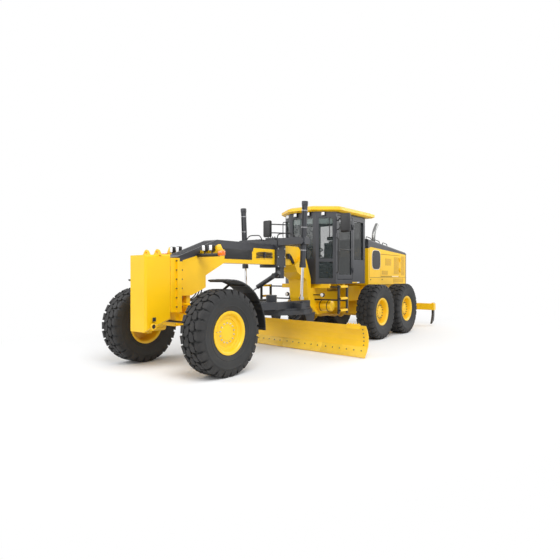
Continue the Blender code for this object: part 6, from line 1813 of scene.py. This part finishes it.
@dataclass
class Studio:
    """The pale floor, the soft light and the camera of the photograph."""

    camera_place: Triple = (9.3335, 6.079, 1.537)
    camera_turn: Triple = (89.58, 0.0, 127.554)
    lens: float = 29.47
    sensor: float = 36
    floor_half: float = 40.0
    floor_colour: Triple = (0.88, 0.885, 0.89)
    fade_end: Pair = (9.5, 6.5)
    fade_start: float = 0.45
    sky_strength: float = 0.55
    lamp_table: tuple[tuple[str, Triple, float, float], ...] = (
        ("key", (7.0, 7.0, 9.0), 7.0, 900.0), ("fill", (9.0, -5.0, 6.0), 6.0, 350.0),
        ("back", (-8.0, 5.0, 7.0), 7.0, 450.0))

    def floor(self) -> None:
        """Lay the floor, which fades to white away from the machine."""
        mesh = bpy.data.meshes.new("floor")
        sheet = bmesh.new()
        bmesh.ops.create_grid(sheet, x_segments=4, y_segments=4, size=self.floor_half)
        sheet.to_mesh(mesh)
        sheet.free()
        material, graph, shader = new_material("studio_floor")
        graph.feed(shader, {"Base Color": (*self.floor_colour, 1), "Roughness": 0.9})
        white = graph.add("Emission", {"Color": WHITE, "Strength": 1.0})
        reach, breadth = self.fade_end
        squeeze = graph.add("Mapping", {"Vector": graph.place(),
                                        "Scale": (1 / reach, 1 / breadth, 0)})
        length = graph.add("VectorMath", {0: squeeze.outputs["Vector"]}, operation="LENGTH")
        fade = graph.spread(length.outputs["Value"], self.fade_start,
                            interpolation_type="SMOOTHSTEP")
        seen = graph.add("LightPath").outputs["Is Camera Ray"]
        blend = graph.add("MixShader", {"Fac": graph.maths("MULTIPLY", fade, seen),
                                        1: shader.outputs["BSDF"], 2: white.outputs["Emission"]})
        graph.feed(graph.tree.nodes["Material Output"], {"Surface": blend.outputs["Shader"]})
        mesh.materials.append(material)
        floor = bpy.data.objects.new("floor", mesh)
        bpy.context.collection.objects.link(floor)

    def world(self) -> None:
        """Light the world softly and show it white to the camera and to reflections."""
        world = bpy.data.worlds.new("studio")
        world.use_nodes = True
        graph = Graph(world.node_tree)
        soft = graph.feed(graph.tree.nodes["Background"],
                          {"Color": WHITE, "Strength": self.sky_strength})
        bright = graph.add("Background", {"Color": WHITE, "Strength": 1.0})
        rays = graph.add("LightPath").outputs
        seen = graph.maths("MAXIMUM", rays["Is Camera Ray"], rays["Is Glossy Ray"])
        either = graph.maths("MAXIMUM", seen, rays["Is Transmission Ray"])
        mix = graph.add("MixShader", {"Fac": either, 1: soft.outputs["Background"],
                                      2: bright.outputs["Background"]})
        graph.feed(graph.tree.nodes["World Output"], {"Surface": mix.outputs["Shader"]})
        bpy.context.scene.world = world

    def lamps(self) -> None:
        """Hang one large key lamp and two fill lamps."""
        for name, place, size, power in self.lamp_table:
            data = bpy.data.lights.new(name, "AREA")
            data.size = size
            data.energy = power
            lamp = bpy.data.objects.new(name, data)
            lamp.location = place
            lamp.rotation_euler = (Vector((0, 0, 1)) - Vector(place)).to_track_quat("-Z",
                                                                                    "Y").to_euler()
            bpy.context.collection.objects.link(lamp)

    def camera(self) -> None:
        """Stand the camera where the photograph was taken."""
        data = bpy.data.cameras.new("camera")
        data.lens = self.lens
        data.sensor_width = self.sensor
        camera = bpy.data.objects.new("camera", data)
        camera.location = self.camera_place
        camera.rotation_euler = [math.radians(turn) for turn in self.camera_turn]
        bpy.context.collection.objects.link(camera)
        bpy.context.scene.camera = camera

    def build(self) -> None:
        """Build the studio."""
        self.camera()
        self.floor()
        self.world()
        self.lamps()
        bpy.context.scene.view_settings.view_transform = "Standard"


NECK_PAINT = BandedFinish("neck_two_tone", YELLOW.colour, **PAINT, line=(
    (-0.2, 2.9), (1.4, 2.9), (1.5, 2.10), (2.5, 2.10), (2.52, 2.03), (3.49, 2.03), (4.38, 1.785)))
HOOD_PAINT = BandedFinish("hood_two_tone", YELLOW.colour, **PAINT, dark_behind=-4.06, line=(
    (-4.2, 2.19), (-1.74, 2.32), (-1.58, 2.28), (-1.40, 2.0)))
SHANK_PAINT = LowDarkFinish("ripper_two_tone", YELLOW.colour, **PAINT, dark_below=0.498,
                            dark_behind=-5.0005)
PAINTED_NODES: dict[Finish, str] = {
    NECK_PAINT: "front_frame",
    HOOD_PAINT: "hood",
    SHANK_PAINT: "ripper_beam",
    YELLOW: "counterweight front_axle lean_yoke_left lean_yoke_right knuckle_left knuckle_right "
            "lean_bar blade cab_roof rear_frame tandem_case_left tandem_case_right hood_door_left "
            "hood_door_right ripper_links ripper_upper_links",
    CHARCOAL: "saddle lift_tube_left lift_tube_right shift_tube drawbar circle blade_bracket "
              "cab_shell cab_door_left cab_door_right rear_grille ripper_tube",
    BLACK: "tie_rod fender_left fender_right ladder_left ladder_right",
    CHROME: "lift_rod_left lift_rod_right shift_rod tilt_rod ripper_rod",
    STEEL: "shift_cross swing_block",
    DARK: "console engine",
    FABRIC: "seat",
    PIPE: "exhaust",
}


def dress_nodes(nodes: dict[str, bpy.types.Object]) -> None:
    """Give every CAD node its finish: tyres rubber, rims yellow, the rest as listed.

    Args:
        nodes: The frame's nodes by name.
    """
    finishes = {name: finish for finish, names in PAINTED_NODES.items() for name in names.split()}
    for name, node in nodes.items():
        finish = finishes.get(name, RUBBER if name.startswith("tyre") else RIM_YELLOW)
        node.data.materials.clear()
        node.data.materials.append(finish.material())


def main() -> None:
    """Load the frame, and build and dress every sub-assembly."""
    logging.basicConfig(level=logging.INFO, format="%(message)s")
    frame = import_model()
    Studio().build()
    dress_nodes(frame["nodes"])
    for row in Row:
        for hand, sign in SIDES:
            Wheel(row, hand, sign).build()
    for part in (Gooseneck(), NoseWeight(), CabDress(), DriverSeat(), BladeDress(), LiftCylinders(),
                 SaddleDress(), CircleDress(), HoodDress(), LadderDress(), RipperDress(),
                 *(FenderDress(hand, side) for hand, side in SIDES)):
        part.build()


if __name__ == "__main__":
    main()
